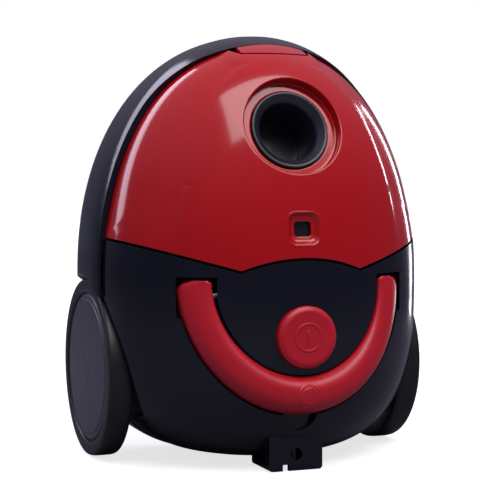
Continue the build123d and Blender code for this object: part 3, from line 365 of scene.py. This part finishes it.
def resample(line, count):
    """count points at equal arc length along a line of points."""
    run = np.r_[0.0, np.cumsum(np.linalg.norm(np.diff(line, axis=0), axis=1))]
    want = np.linspace(0.0, run[-1], count)
    return np.stack([np.interp(want, run, line[:, k]) for k in range(line.shape[1])], -1)


def lid_edge():
    """Right half of the lid's outline as (turn, z), from the arch's middle up to the tab."""
    arch_r = (TIP_X**2 + (ARCH_Z - TIP_Z) ** 2) / (2 * (ARCH_Z - TIP_Z))
    x = np.linspace(0.0, TIP_X, 28)
    arch_z = ARCH_Z - arch_r + np.sqrt(arch_r**2 - x**2) + HALF_GAP
    arch = np.stack((skin_turn(x, arch_z), arch_z), -1)
    slope = (SIDE_Z - TIP_Z) / (SKIN_HALF - TIP_X)

    def edge_turn(z):
        _, deep = skin_size(z, 0.0)
        share = np.clip((SKIN_MID_Y - cover_edge_y(z)) / deep, 0.0, 1.0)
        return np.arccos(share ** (SKIN_POWER / 2))

    corner_z = SIDE_Z
    for _ in range(20):
        corner_x = skin_point(edge_turn(np.array(corner_z)), np.array(corner_z))[0]
        corner_z = TIP_Z + slope * (corner_x - TIP_X) + HALF_GAP
    x = np.linspace(TIP_X, corner_x, 44)[1:]
    z = TIP_Z + slope * (x - TIP_X) + HALF_GAP
    flank = np.stack((skin_turn(x, z), z), -1)
    flank[-1, 0] = edge_turn(np.array(corner_z))
    z = corner_z + (337.2 - corner_z) * np.sin(np.linspace(0.0, math.pi / 2, 1500))
    side = np.stack((edge_turn(z), z), -1)
    keep = skin_point(side[:, 0], side[:, 1])[:, 0] > NOTCH_X
    side = side[keep]
    even = resample(np.c_[skin_point(side[:, 0], side[:, 1]), side], 118)[1:, 3:]
    tab_turn = skin_turn(np.array(TAB_X), np.array(TAB_Z))
    notch = np.linspace(even[-1], (tab_turn, TAB_Z), 8)[1:]
    x = np.linspace(TAB_X, 0.0, 26)[1:]
    tab = np.stack((skin_turn(x, np.full_like(x, TAB_Z)), np.full_like(x, TAB_Z)), -1)
    return np.vstack((arch, flank, even, notch, tab))


def both_halves(half):
    """A closed ring from its right half: the left half runs back down, mirrored."""
    left = half[-2:0:-1].copy()
    left[:, 0] *= -1.0
    return np.vstack((half, left))


def disc_on_skin(centre, out, up, radius, angles):
    """Where a cylinder about out meets the skin: centre + radial + s * out, s by bisection."""
    side = np.array((1.0, 0.0, 0.0))
    radial = radius * (np.sin(angles)[:, None] * side - np.cos(angles)[:, None] * up)
    low = np.full(len(angles), -60.0)
    high = np.full(len(angles), 60.0)
    for _ in range(50):
        mid = (low + high) / 2
        p = centre + radial + mid[:, None] * out
        outside = p[:, 1] < skin_y(p[:, 0], p[:, 2])
        high = np.where(outside, mid, high)
        low = np.where(outside, low, mid)
    return centre + radial + mid[:, None] * out, radial, mid


def crease_drop(x, z):
    """How far the lid falls away outside its inner panel: a (1 - e^(-s/l)) (b + c e^(-s/m)), where s
    is the distance from the crease. It fades towards the lid's lower edge and under the tab."""
    p = np.stack((np.abs(x), z), -1)
    nearest = np.full(x.shape, 1e9)
    sign = np.ones(x.shape)
    for a, b in zip(CREASE[:-1], CREASE[1:]):
        along = b - a
        share = np.clip(((p - a) @ along) / (along @ along), 0.0, 1.0)
        gap = p - (a + share[..., None] * along)
        far = np.linalg.norm(gap, axis=-1)
        turn = along[0] * gap[..., 1] - along[1] * gap[..., 0]
        sign = np.where(far < nearest, np.sign(turn), sign)
        nearest = np.minimum(nearest, far)
    out = np.where(sign > 0, nearest, 0.0)
    fade = smooth((z - 158.0) / 60.0)
    tab = 0.85 * smooth((z - 315.0) / 7.0) * smooth((46.0 - np.abs(x)) / 14.0)
    fall = CREASE_DROP * (1.0 - np.exp(-out / CREASE_SIDE)) * (0.55 + 0.45 * np.exp(-out / CREASE_RETURN))
    return fall * fade * (1.0 - tab)


def grid_faces(rows, columns, wrap_rows, wrap_columns):
    """Quads of a grid: face (i, j) joins rows i, i+1 and columns j, j+1, wrapped where asked."""
    i = np.arange(rows if wrap_rows else rows - 1)[:, None]
    j = np.arange(columns if wrap_columns else columns - 1)[None, :]
    up = (i + 1) % rows
    on = (j + 1) % columns
    corners = [i * columns + j, i * columns + on, up * columns + on, up * columns + j]
    return np.stack(np.broadcast_arrays(*corners), -1).reshape(-1, 4)


def surface(name, points, material, wrap_rows=False, wrap_columns=False, sharp=40.0, closed=True):
    """A smooth mesh in the row frame from a grid of points in model millimetres. Points that meet
    at poles are merged, and a closed mesh is turned to face outwards."""
    rows, columns = points.shape[:2]
    flat = points.reshape(-1, 3) * 0.001
    flat = flat + np.array((0.0, DEPTH_SHIFT, 0.0))
    mesh = bpy.data.meshes.new(name)
    mesh.from_pydata(flat.tolist(), [], grid_faces(rows, columns, wrap_rows, wrap_columns).tolist())
    mesh.materials.append(material)
    work = bmesh.new()
    work.from_mesh(mesh)
    bmesh.ops.remove_doubles(work, verts=work.verts, dist=1e-6)
    if closed:
        bmesh.ops.recalc_face_normals(work, faces=work.faces)
        if work.calc_volume(signed=True) < 0:
            bmesh.ops.reverse_faces(work, faces=work.faces)
    work.to_mesh(mesh)
    work.free()
    mesh.polygons.foreach_set("use_smooth", np.ones(len(mesh.polygons), bool))
    mesh.set_sharp_from_angle(angle=math.radians(sharp))
    made = bpy.data.objects.new(name, mesh)
    bpy.context.scene.collection.objects.link(made)
    return made


def window_local(points):
    """Coordinates of points in the window's frame: across, up and out of the lid."""
    out = np.array((0.0, -math.cos(WINDOW_TILT), math.sin(WINDOW_TILT)))
    up = np.array((0.0, math.sin(WINDOW_TILT), math.cos(WINDOW_TILT)))
    gap = points - np.array((0.0, SKIN_MID_Y - SKIN_DEPTH * 0.96, WINDOW_Z))
    return gap[..., 0], gap @ up, gap @ out, out


def rounded_square(x, z, half_x, half_z, corner):
    """Signed distance to a rounded rectangle: negative inside."""
    qx = np.abs(x) - (half_x - corner)
    qz = np.abs(z) - (half_z - corner)
    outside = np.hypot(np.maximum(qx, 0.0), np.maximum(qz, 0.0))
    return outside + np.minimum(np.maximum(qx, qz), 0.0) - corner


def smooth(share):
    """0 below 0, 1 above 1, and 3s^2 - 2s^3 between."""
    s = np.clip(share, 0.0, 1.0)
    return s * s * (3.0 - 2.0 * s)


def lid_shell():
    """Closed shell on a ring grid. Columns run round the lid; rows run from the recess's hole up
    its wall, over the rim, out over the skin, round the edge and back along the inside."""
    edge = both_halves(lid_edge())
    at = skin_point(edge[:, 0], edge[:, 1])
    angles = np.arctan2(at[:, 0], INLET[2] - at[:, 2])
    rim, radial, rise = disc_on_skin(INLET, INLET_OUT, INLET_UP, RECESS_R + 1.3, angles)
    rim_turn = skin_turn(rim[:, 0], rim[:, 2])
    unit = radial / np.linalg.norm(radial, axis=1, keepdims=True)
    rows = []
    hole_r = SLEEVE_R + 0.3
    for reach, height in ((RECESS_R + 2.5, -8.5), (hole_r + 0.5, -8.5), (hole_r, -8.0),
                          (hole_r, RECESS_FLOOR - 0.6), (hole_r + 0.2, RECESS_FLOOR - 0.2),
                          (hole_r + 0.6, RECESS_FLOOR)):
        rows.append(INLET + unit * reach + INLET_OUT * height)
    for reach in np.linspace(hole_r + 1.2, RECESS_R - 1.2, 5):
        rows.append(INLET + unit * reach + INLET_OUT * RECESS_FLOOR)
    for turn in np.radians((20, 45, 70, 90)):
        rows.append(INLET + unit * (RECESS_R - 1.2 + 1.2 * math.sin(turn))
                    + INLET_OUT * (RECESS_FLOOR + 1.2 - 1.2 * math.cos(turn)))
    wall_top = rise[:, None] - 1.3
    for share in (0.33, 0.66, 1.0):
        height = (RECESS_FLOOR + 1.2) * (1 - share) + wall_top * share
        rows.append(INLET + unit * RECESS_R + INLET_OUT * height)
    for turn in np.radians((22, 45, 68)):
        rows.append(INLET + unit * (RECESS_R + 1.3 - 1.3 * math.cos(turn))
                    + INLET_OUT * (wall_top + 1.3 * math.sin(turn)))
    share = np.linspace(0.0, 1.0, 92)[:, None]
    turn = (1 - share) * rim_turn + share * edge[:, 0]
    z = (1 - share) * rim[:, 2] + share * edge[:, 1]
    skin = skin_point(turn, z)
    normal = skin_normal(skin)
    outward = skin[-1] - skin[-2]
    outward -= np.sum(outward * normal[-1], -1, keepdims=True) * normal[-1]
    outward /= np.maximum(np.linalg.norm(outward, axis=-1, keepdims=True), 1e-9)
    x_window, z_window, _, window_out = window_local(skin)
    dish = rounded_square(x_window, z_window, 12.5, 12.0, 6.0)
    sink = 8.0 * smooth((0.6 - dish) / 4.0)
    drop = crease_drop(skin[..., 0], skin[..., 2]) * smooth(share * 40.0)
    outer = skin - normal * drop[..., None] - window_out * sink[..., None]
    swell = 9.5 * smooth((4.0 - dish) / 3.0)
    inner = skin - normal * (LID_T + drop)[..., None] - window_out * swell[..., None]
    rows.extend(outer[:-1])
    start = outer[-1] - 0.8 * outward
    core = start - 0.8 * normal[-1]
    for turn in np.radians((0, 25, 50, 75, 90)):
        rows.append(core + 0.8 * (outward * math.sin(turn) + normal[-1] * math.cos(turn)))
    rows.append(inner[-1])
    rows.extend(inner[-2::-2])
    return np.stack(rows)


gloss_red = moulded("gloss_red", (0.50, 0.0016, 0.0040), (0.54, 0.0020, 0.0052), 0.11, 0.16, 1400.0, 0.02,
                    cloud=9.0, coat=0.25)
lid = surface("lid", lid_shell(), gloss_red, wrap_rows=True, wrap_columns=True)
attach(lid, "lid")
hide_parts("dust_cover")
paint(gloss_red, "latch_hook")


def window_bezel():
    """A dished frame round the indicator's window: rings of rounded rectangles on the skin, each
    with its half width, half height, corner radius and depth, closed round the hole's wall."""
    turn = np.linspace(0.0, 2 * math.pi, 120, endpoint=False)
    _, _, _, out = window_local(np.zeros(3))
    rings = []
    for half_x, half_z, corner, depth in (
            (14.2, 13.7, 7.4, 0.10), (14.0, 13.5, 7.2, -0.16), (13.6, 13.1, 6.9, -0.24),
            (12.9, 12.4, 6.4, -0.10), (12.2, 11.7, 6.0, 0.55), (11.2, 10.6, 5.4, 1.9),
            (10.2, 9.5, 4.8, 3.0), (9.3, 8.3, 4.0, 3.6), (7.6, 6.4, 3.0, 3.8), (7.1, 5.85, 2.6, 4.1),
            (7.0, 5.75, 2.5, 4.6), (7.0, 5.75, 2.5, 5.6), (8.4, 7.2, 3.4, 5.8), (10.8, 10.1, 5.0, 4.4),
            (12.6, 12.1, 6.2, 2.2), (13.9, 13.4, 7.1, 0.5)):
        reach = np.full_like(turn, 4.0)
        for _ in range(40):
            gap = rounded_square(reach * np.sin(turn), reach * np.cos(turn), half_x, half_z, corner)
            reach -= gap
        x = reach * np.sin(turn)
        z = WINDOW_Z + reach * np.cos(turn)
        rings.append(np.stack((x, skin_y(x, z), z), -1) - depth * out)
    return np.stack(rings)


bezel = surface("window_bezel", window_bezel(), gloss_red, wrap_rows=True, wrap_columns=True, sharp=45.0)
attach(bezel, "lid")


# Lid's hinge arms: two goosenecks moulded behind the lid's lower edge, which curl round the
# cover's top edge to the hinge pins.

HINGE = np.array((0.0, -92.0, 147.0))
NECK_X = 34.0
NECK_R = 25.75
NECK_T = 3.5
NECK_W = 6.0


def box_sweep(path, side, width, thick, corner=0.7):
    """A rounded rectangle carried along a path: section c + a * side + b * normal, closed ends."""
    tangent = np.gradient(path, axis=0)
    tangent /= np.linalg.norm(tangent, axis=1, keepdims=True)
    normal = np.cross(side, tangent)
    turn = np.radians(np.arange(4) * 90.0)[:, None] + np.radians((0.0, 30.0, 60.0, 90.0))[None, :]
    sign_a = np.array((1, -1, -1, 1))[:, None]
    sign_b = np.array((1, 1, -1, -1))[:, None]
    a = (sign_a * (width / 2 - corner) + corner * np.cos(turn)).ravel()
    b = (sign_b * (thick / 2 - corner) + corner * np.sin(turn)).ravel()
    ring = path[:, None, :] + a[None, :, None] * side + b[None, :, None] * normal[:, None, :]
    first = np.repeat(path[:1, None, :], len(a), 1)
    last = np.repeat(path[-1:, None, :], len(a), 1)
    return np.concatenate((first, ring, last))


def neck_path():
    """From the pin out along a short spoke, then round an arc to the lid's inner wall."""
    turn = np.radians(np.linspace(12.0, 112.0, 34))
    arc = np.stack((np.zeros_like(turn), NECK_R * np.cos(turn), NECK_R * np.sin(turn)), -1)
    spoke = np.linspace((0.0, 2.0, 0.6), arc[0] * 0.97, 9)
    return HINGE + resample(np.vstack((spoke, arc)), 52)


neck = neck_path()
neck = neck[neck[:, 1] > skin_y(np.full(len(neck), NECK_X), neck[:, 2], 1.2)]
for hand, side in (("right", 1.0), ("left", -1.0)):
    path = neck + (side * NECK_X, 0, 0)
    arm = surface("lid_arm_" + hand, box_sweep(path, np.array((1.0, 0.0, 0.0)), NECK_W, NECK_T),
                  gloss_red, wrap_columns=True)
    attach(arm, "lid")


# Inlet sleeve: the black funnel of the hose socket, turned from one profile about the inlet's
# axis, with a rounded mouth, a cone and a long bore that keys the hose's end.

BORE_R = 23.25
AXIS_R = 0.001


def turned(profile, centre, out, up, count=160):
    """A closed profile of (radius, height) carried round an axis: c + r cos + r sin + h out."""
    profile = np.asarray(profile, float)
    turn = np.linspace(0.0, 2 * math.pi, count, endpoint=False)
    side = np.cross(up, out)
    spin = np.cos(turn)[None, :, None] * side + np.sin(turn)[None, :, None] * up
    return centre + profile[:, 0, None, None] * spin + profile[:, 1, None, None] * out


def rounded(corners, radii, steps=6):
    """A polyline with each corner replaced by a circular-looking quadratic arc of that reach."""
    corners = np.asarray(corners, float)
    line = []
    share = np.linspace(0.0, 1.0, steps)[:, None]
    for k, reach in enumerate(radii):
        here = corners[k]
        before = corners[k - 1] - here
        after = corners[(k + 1) % len(corners)] - here
        a = here + before / np.linalg.norm(before) * min(reach, 0.45 * np.linalg.norm(before))
        b = here + after / np.linalg.norm(after) * min(reach, 0.45 * np.linalg.norm(after))
        line.append((1 - share) ** 2 * a + 2 * share * (1 - share) * here + share**2 * b)
    return np.vstack(line)


sleeve_black = moulded("sleeve_black", (0.0050, 0.0058, 0.0105), (0.0070, 0.0080, 0.0140),
                       0.24, 0.32, 900.0, 0.08)
sleeve_line = rounded(
    [(SLEEVE_R - 2.4, -3.6), (SLEEVE_R - 0.2, -3.6), (SLEEVE_R - 0.2, -9.0), (SLEEVE_R + 5, -9.0),
     (SLEEVE_R + 5, -11.0), (BORE_R + 4, -11.0), (BORE_R + 4, -46.0), (BORE_R, -46.0), (BORE_R, -11.0),
     (BORE_R + 1.0, -8.2)],
    [0.9, 0.9, 0.2, 0.3, 0.3, 0.5, 0.3, 0.4, 1.2, 1.2])
funnel_slate = moulded("funnel_slate", (0.017, 0.019, 0.030), (0.021, 0.024, 0.037),
                       0.20, 0.28, 900.0, 0.06)
sleeve = surface("inlet_funnel", turned(sleeve_line, INLET, INLET_OUT, INLET_UP), funnel_slate,
                 wrap_rows=True, wrap_columns=True, sharp=50.0)
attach(sleeve, "lid")
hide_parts("inlet_sleeve")


# Dust flap: the rubber membrane across the bag's collar, which closes the bore's far end.

flap_line = [(AXIS_R, -47.6), (6.0, -47.9), (16.0, -47.4), (22.9, -46.9), (22.9, -47.7), (16.0, -48.2),
             (6.0, -48.7), (AXIS_R, -48.4)]
flap = surface("bag_flap", turned(flap_line, INLET, INLET_OUT, INLET_UP, 96), sleeve_black,
               wrap_rows=True, wrap_columns=True, sharp=60.0)
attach(flap, "body")


# Carry handle: a satin red bow, hinged at both ends, that lies in the cover's trough. Its face is
# crowned from edge to edge and stands proudest at the middle of the grip; the badge is a plain disc.

HANDLE_Z = 150.0
HANDLE_OUT = (93.5, 104.0)
HANDLE_IN = (69.5, 74.0)
HANDLE_RAKE = math.radians(7.5)
HANDLE_PIVOT = (-83.0, 139.0)
END_OUT_R = 8.5
END_IN_R = 2.0
BADGE_Z = 62.0
BADGE_R = 9.6
BOW_MEAN_X = 90.0
TROUGH_DEPTH = 4.6


def grip_y(x, z):
    """The covers' skin swollen by 1.5 and raked about the hinge: y with skin_y(x, z') = y'."""
    cos = math.cos(HANDLE_RAKE)
    sin = math.sin(HANDLE_RAKE)
    y = skin_y(x, z, -1.5)
    for _ in range(12):
        turned_z = HANDLE_PIVOT[1] + (y - HANDLE_PIVOT[0]) * sin + (z - HANDLE_PIVOT[1]) * cos
        turned_y = skin_y(x, turned_z, -1.5) - HANDLE_PIVOT[0]
        y = HANDLE_PIVOT[0] + (turned_y + (z - HANDLE_PIVOT[1]) * sin) / cos
    return y


def bow_point(share, turn):
    """x, z of the bow at share 0 (inner edge) to 1 (outer edge) and turn 0 to 180 degrees."""
    x = (HANDLE_IN[0] * (1 - share) + HANDLE_OUT[0] * share) * np.cos(turn)
    z = HANDLE_Z - (HANDLE_IN[1] * (1 - share) + HANDLE_OUT[1] * share) * np.sin(turn)
    return x, z


def crown_face(share, x, z):
    """Depth of the crowned face: from the trough's back out by (1 - |2s - 1|^2.5)^(1/2.5)."""
    back = skin_y(x, z, TROUGH_DEPTH)
    front = grip_y(x, z)
    return back + (front - back) * (1.0 - np.abs(2 * share - 1) ** 2.5) ** (1 / 2.5)


def bow():
    """Section rings along the bow: the crowned face one way, the flat back the other way, with
    the ends drawn in by two corner circles and closed at a point."""
    half = np.r_[np.linspace(0.0, 0.10, 16)[:-1], np.linspace(0.10, 1.0, 120)] * math.pi / 2
    turns = np.r_[half, math.pi - half[-2::-1]]
    far = np.minimum(turns, math.pi - turns) * 92.0
    width = 24.0 + 6.0 * np.sin(turns)
    trim_out = END_OUT_R - np.sqrt(np.maximum(END_OUT_R**2 - np.maximum(END_OUT_R - far, 0.0) ** 2, 0.0))
    trim_in = END_IN_R - np.sqrt(np.maximum(END_IN_R**2 - np.maximum(END_IN_R - far, 0.0) ** 2, 0.0))
    low = (trim_in / width)[:, None]
    high = (1 - trim_out / width)[:, None]
    across = (1 - np.cos(np.linspace(0.0, math.pi, 41))) / 2
    turn = turns[:, None]
    x, z = bow_point(low + (high - low) * across, turn)
    face = np.stack((x, crown_face(across + 0.0 * turn, x, z), z), -1)
    back_share = across[-2:0:-1]
    x, z = bow_point(low + (high - low) * back_share, turn)
    pull = (1.0 - np.abs(2 * back_share - 1) ** 8.0) ** (1 / 8.0)
    back = np.stack((x, skin_y(x, z, TROUGH_DEPTH) + 0.4 * pull, z), -1)
    rings = np.concatenate((face, back), 1)
    ends = []
    for ring in (rings[0], rings[-1]):
        middle = ring.mean(0)
        ends.append([np.broadcast_to(middle, ring.shape), middle + (ring - middle) * 0.93])
    drop = np.array((0.0, 0.0, 0.8))
    first = [ends[0][0] + drop, ends[0][1] + drop]
    last = [ends[1][1] + drop, ends[1][0] + drop]
    return np.concatenate((first, rings, last))


satin_red = moulded("satin_red", (0.56, 0.0085, 0.020), (0.62, 0.011, 0.026), 0.30, 0.38, 1100.0, 0.12,
                    cloud=14.0)
handle = surface("grip_bow", bow(), satin_red, wrap_columns=True, sharp=55.0)
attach(handle, "handle")
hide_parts("carry_handle")


def badge():
    """A thin disc on the crown: y = face - profile(r), with a raised rim and an inner ring."""
    reach = np.r_[np.linspace(0.05, 5.0, 8), np.linspace(5.2, 7.0, 10), np.linspace(7.2, 9.2, 9),
                  np.linspace(9.25, BADGE_R, 5), BADGE_R + 0.02]
    turn = np.linspace(0.0, 2 * math.pi, 120, endpoint=False)
    x = reach[:, None] * np.cos(turn)
    z = BADGE_Z + reach[:, None] * np.sin(turn)
    bow_width = HANDLE_OUT[1] - HANDLE_IN[1]
    share = ((HANDLE_Z - z) / np.sqrt(1.0 - (x / BOW_MEAN_X) ** 2) - HANDLE_IN[1]) / bow_width
    face = crown_face(np.clip(share, 0.02, 0.98), x, z)
    rim = smooth(1 - np.abs(reach - 8.7) / 0.7) + smooth(1 - np.abs(reach - 6.1) / 0.5)
    height = 0.20 + 0.35 * rim
    height[-1] = -0.6
    height[-2] = 0.1
    return np.stack((x, face - height[:, None], z), -1)


badge_points = badge()
badge_points = np.concatenate((badge_points[:1].mean(1, keepdims=True).repeat(120, 1), badge_points,
                               badge_points[-1:].mean(1, keepdims=True).repeat(120, 1)))
disc = surface("grip_badge", badge_points, satin_red, wrap_columns=True, sharp=60.0)
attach(disc, "handle")


# Power button: a red cap with a bevelled edge and a raised on/off mark of a ring and a bar. It
# slides in the cover's guide on a hidden spring.

BUTTON = np.array((0.0, 0.0, 107.0))
BUTTON_FACE = -110.5
BUTTON_R = 24.0
FRONT = np.array((0.0, -1.0, 0.0))
UPRIGHT = np.array((0.0, 0.0, 1.0))

face_out = -BUTTON_FACE
button_line = rounded(
    [(AXIS_R, face_out - 0.6), (13.0, face_out - 0.5), (20.6, face_out), (BUTTON_R, face_out - 2.2),
     (BUTTON_R, face_out - 13.9), (21.5, face_out - 13.9), (21.5, face_out - 3.2),
     (AXIS_R, face_out - 3.2)],
    [AXIS_R / 2, 3.0, 1.6, 0.9, 0.3, 0.3, 0.5, AXIS_R / 2], 7)
button = surface("power_cap", turned(button_line, BUTTON, FRONT, UPRIGHT, 128), satin_red,
                 wrap_rows=True, wrap_columns=True, sharp=50.0)
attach(button, "button")
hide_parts("power_button")

mark_ring = [(10.5 + 1.05 * math.cos(turn), face_out - 0.52 + 0.48 * math.sin(turn))
             for turn in np.linspace(0, 2 * math.pi, 17)[:-1]]
ring = surface("power_mark_ring", turned(mark_ring, BUTTON, FRONT, UPRIGHT, 96), satin_red,
               wrap_rows=True, wrap_columns=True, sharp=80.0)


def capsule(length, radius, height):
    """A raised bar with round ends: rows shrink along a quarter circle towards its crest."""
    turn = np.linspace(0.0, 2 * math.pi, 48, endpoint=False)
    rows = []
    for rise in np.radians((-90, -60, -30, 0, 20, 40, 60, 75, 90)):
        r = radius * math.cos(rise) + 1e-4
        x = r * np.cos(turn)
        z = r * np.sin(turn) + np.sign(np.sin(turn)) * (length / 2 - radius)
        y = np.full_like(x, BUTTON_FACE + 0.5 - height * math.sin(rise))
        rows.append(np.stack((x, y, BUTTON[2] + z), -1))
    top = rows[-1] * (0, 1, 1)
    low = rows[0] * (0, 1, 1)
    return np.stack([low] + rows + [top])


bar = surface("power_mark_bar", capsule(10.5, 1.25, 0.45), satin_red, wrap_columns=True, sharp=80.0)
for mark in (ring, bar):
    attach(mark, "button")


# Wheels: a smooth black tyre with rounded shoulders on a moulded hub, and a slate-grey cap with a
# ring groove and a small boss circle, clipped into the hub.

WHEEL_Z = 73.0
WHEEL_R = 73.0
CAP_R = 60.5
tyre_black = moulded("tyre_black", (0.0075, 0.0078, 0.0098), (0.0105, 0.0108, 0.0130),
                     0.34, 0.46, 700.0, 0.25)
cap_grey = moulded("cap_grey", (0.056, 0.059, 0.074), (0.064, 0.068, 0.084), 0.36, 0.44, 1000.0, 0.15)

tyre_line = rounded(
    [(WHEEL_R, 116.6), (WHEEL_R, 135.0), (69.5, 136.0), (64.0, 136.0), (61.4, 134.6), (61.4, 117.4),
     (64.0, 116.1), (69.5, 116.1)],
    [6.0, 6.5, 3.0, 1.5, 1.4, 1.4, 1.5, 3.0], 9)
cap_line = rounded(
    [(AXIS_R, 137.7), (15.4, 137.45), (15.9, 137.15), (16.4, 137.35), (55.0, 135.4), (56.2, 134.5),
     (57.2, 135.1), (59.3, 134.7), (CAP_R, 133.4), (CAP_R, 133.05), (AXIS_R, 133.05)],
    [AXIS_R / 2, 0.3, 0.3, 0.3, 0.5, 0.5, 0.5, 0.9, 0.3, 0.1, AXIS_R / 2], 5)
for hand, side in (("right", 1.0), ("left", -1.0)):
    axis = np.array((side, 0.0, 0.0))
    centre = np.array((0.0, WHEEL_Y, WHEEL_Z))
    tread = surface("tyre_" + hand + "_rubber", turned(tyre_line, centre, axis, UPRIGHT, 220), tyre_black,
                    wrap_rows=True, wrap_columns=True, sharp=60.0)
    cover = surface("hub_disc_" + hand, turned(cap_line, centre, axis, UPRIGHT, 180), cap_grey,
                    wrap_rows=True, wrap_columns=True, sharp=50.0)
    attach(tread, hand + "_wheel")
    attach(cover, hand + "_wheel")
    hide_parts("tyre_" + hand)
    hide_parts("hub_cap_" + hand)
    paint(sleeve_black, "wheel_hub_" + hand)


# Inner works, which show when the lid is up or from below: each CAD solid keeps its shape and
# takes the finish of its stock, from zinc sheet and copper wire to kraft paper and foam.

FINISHES = {
    "matt_black": (((0.010, 0.010, 0.012), (0.014, 0.014, 0.016), 0.42, 0.55, 800.0, 0.2), {}, (
        "caster_fork", "cord_gland", "exhaust_grille", "brush_holders", "indicator_case")),
    "grey_moulding": (((0.16, 0.17, 0.18), (0.19, 0.20, 0.21), 0.40, 0.52, 900.0, 0.2), {}, (
        "bag_holder", "filter_frame", "fan_housing", "reel_drum", "brake_lever", "power_switch")),
    "soft_rubber": (((0.012, 0.012, 0.013), (0.018, 0.018, 0.019), 0.60, 0.75, 500.0, 0.35), {}, (
        "lid_gasket", "bag_gasket", "motor_seal", "motor_mount", "caster_wheel", "brake_roller")),
    "bright_steel": (((0.52, 0.53, 0.55), (0.58, 0.58, 0.60), 0.22, 0.34, 1500.0, 0.1), {"metallic": 1.0}, (
        "handle_pins", "lid_hinge_pins", "latch_pin", "latch_spring", "button_spring", "indicator_spring",
        "wheel_axles", "caster_axle", "motor_shaft", "motor_bearings", "reel_shaft", "reel_spring",
        "brake_pin", "brake_spring", "case_screws", "rotor_core", "stator_core", "impeller")),
    "zinc_sheet": (((0.42, 0.44, 0.47), (0.50, 0.52, 0.55), 0.36, 0.50, 300.0, 0.1),
                   {"metallic": 1.0, "cloud": 60.0}, ("motor_can", "reel_bracket")),
    "copper_wire": (((0.55, 0.20, 0.09), (0.62, 0.25, 0.12), 0.28, 0.40, 400.0, 0.5), {"metallic": 1.0}, (
        "commutator", "field_coils")),
    "brass_rings": (((0.60, 0.42, 0.16), (0.66, 0.48, 0.20), 0.25, 0.35, 900.0, 0.1), {"metallic": 1.0}, (
        "slip_contacts",)),
    "carbon_block": (((0.020, 0.020, 0.021), (0.030, 0.030, 0.031), 0.50, 0.70, 1200.0, 0.5), {}, (
        "brushes",)),
    "kraft_paper": (((0.50, 0.40, 0.27), (0.60, 0.49, 0.34), 0.78, 0.90, 260.0, 0.8), {"cloud": 30.0}, (
        "dust_bag",)),
    "grey_card": (((0.33, 0.30, 0.26), (0.40, 0.37, 0.32), 0.75, 0.88, 400.0, 0.5), {"cloud": 40.0}, (
        "bag_collar",)),
    "filter_foam": (((0.035, 0.037, 0.042), (0.075, 0.078, 0.085), 0.90, 1.00, 420.0, 1.0),
                    {"cloud": 300.0}, ("filter_foam",)),
    "white_fleece": (((0.62, 0.62, 0.60), (0.74, 0.74, 0.72), 0.90, 1.00, 350.0, 0.9), {"cloud": 120.0}, (
        "exhaust_filter",)),
    "shutter_red": (((0.35, 0.010, 0.012), (0.42, 0.014, 0.016), 0.25, 0.35, 900.0, 0.1), {}, (
        "indicator_shutter",)),
    "smoked_pane": (((0.012, 0.010, 0.012), (0.016, 0.012, 0.014), 0.05, 0.09, 900.0, 0.02), {}, (
        "window_lens",)),
}
for name, (stock, extra, nodes) in FINISHES.items():
    paint(moulded(name, *stock, **extra), *nodes)
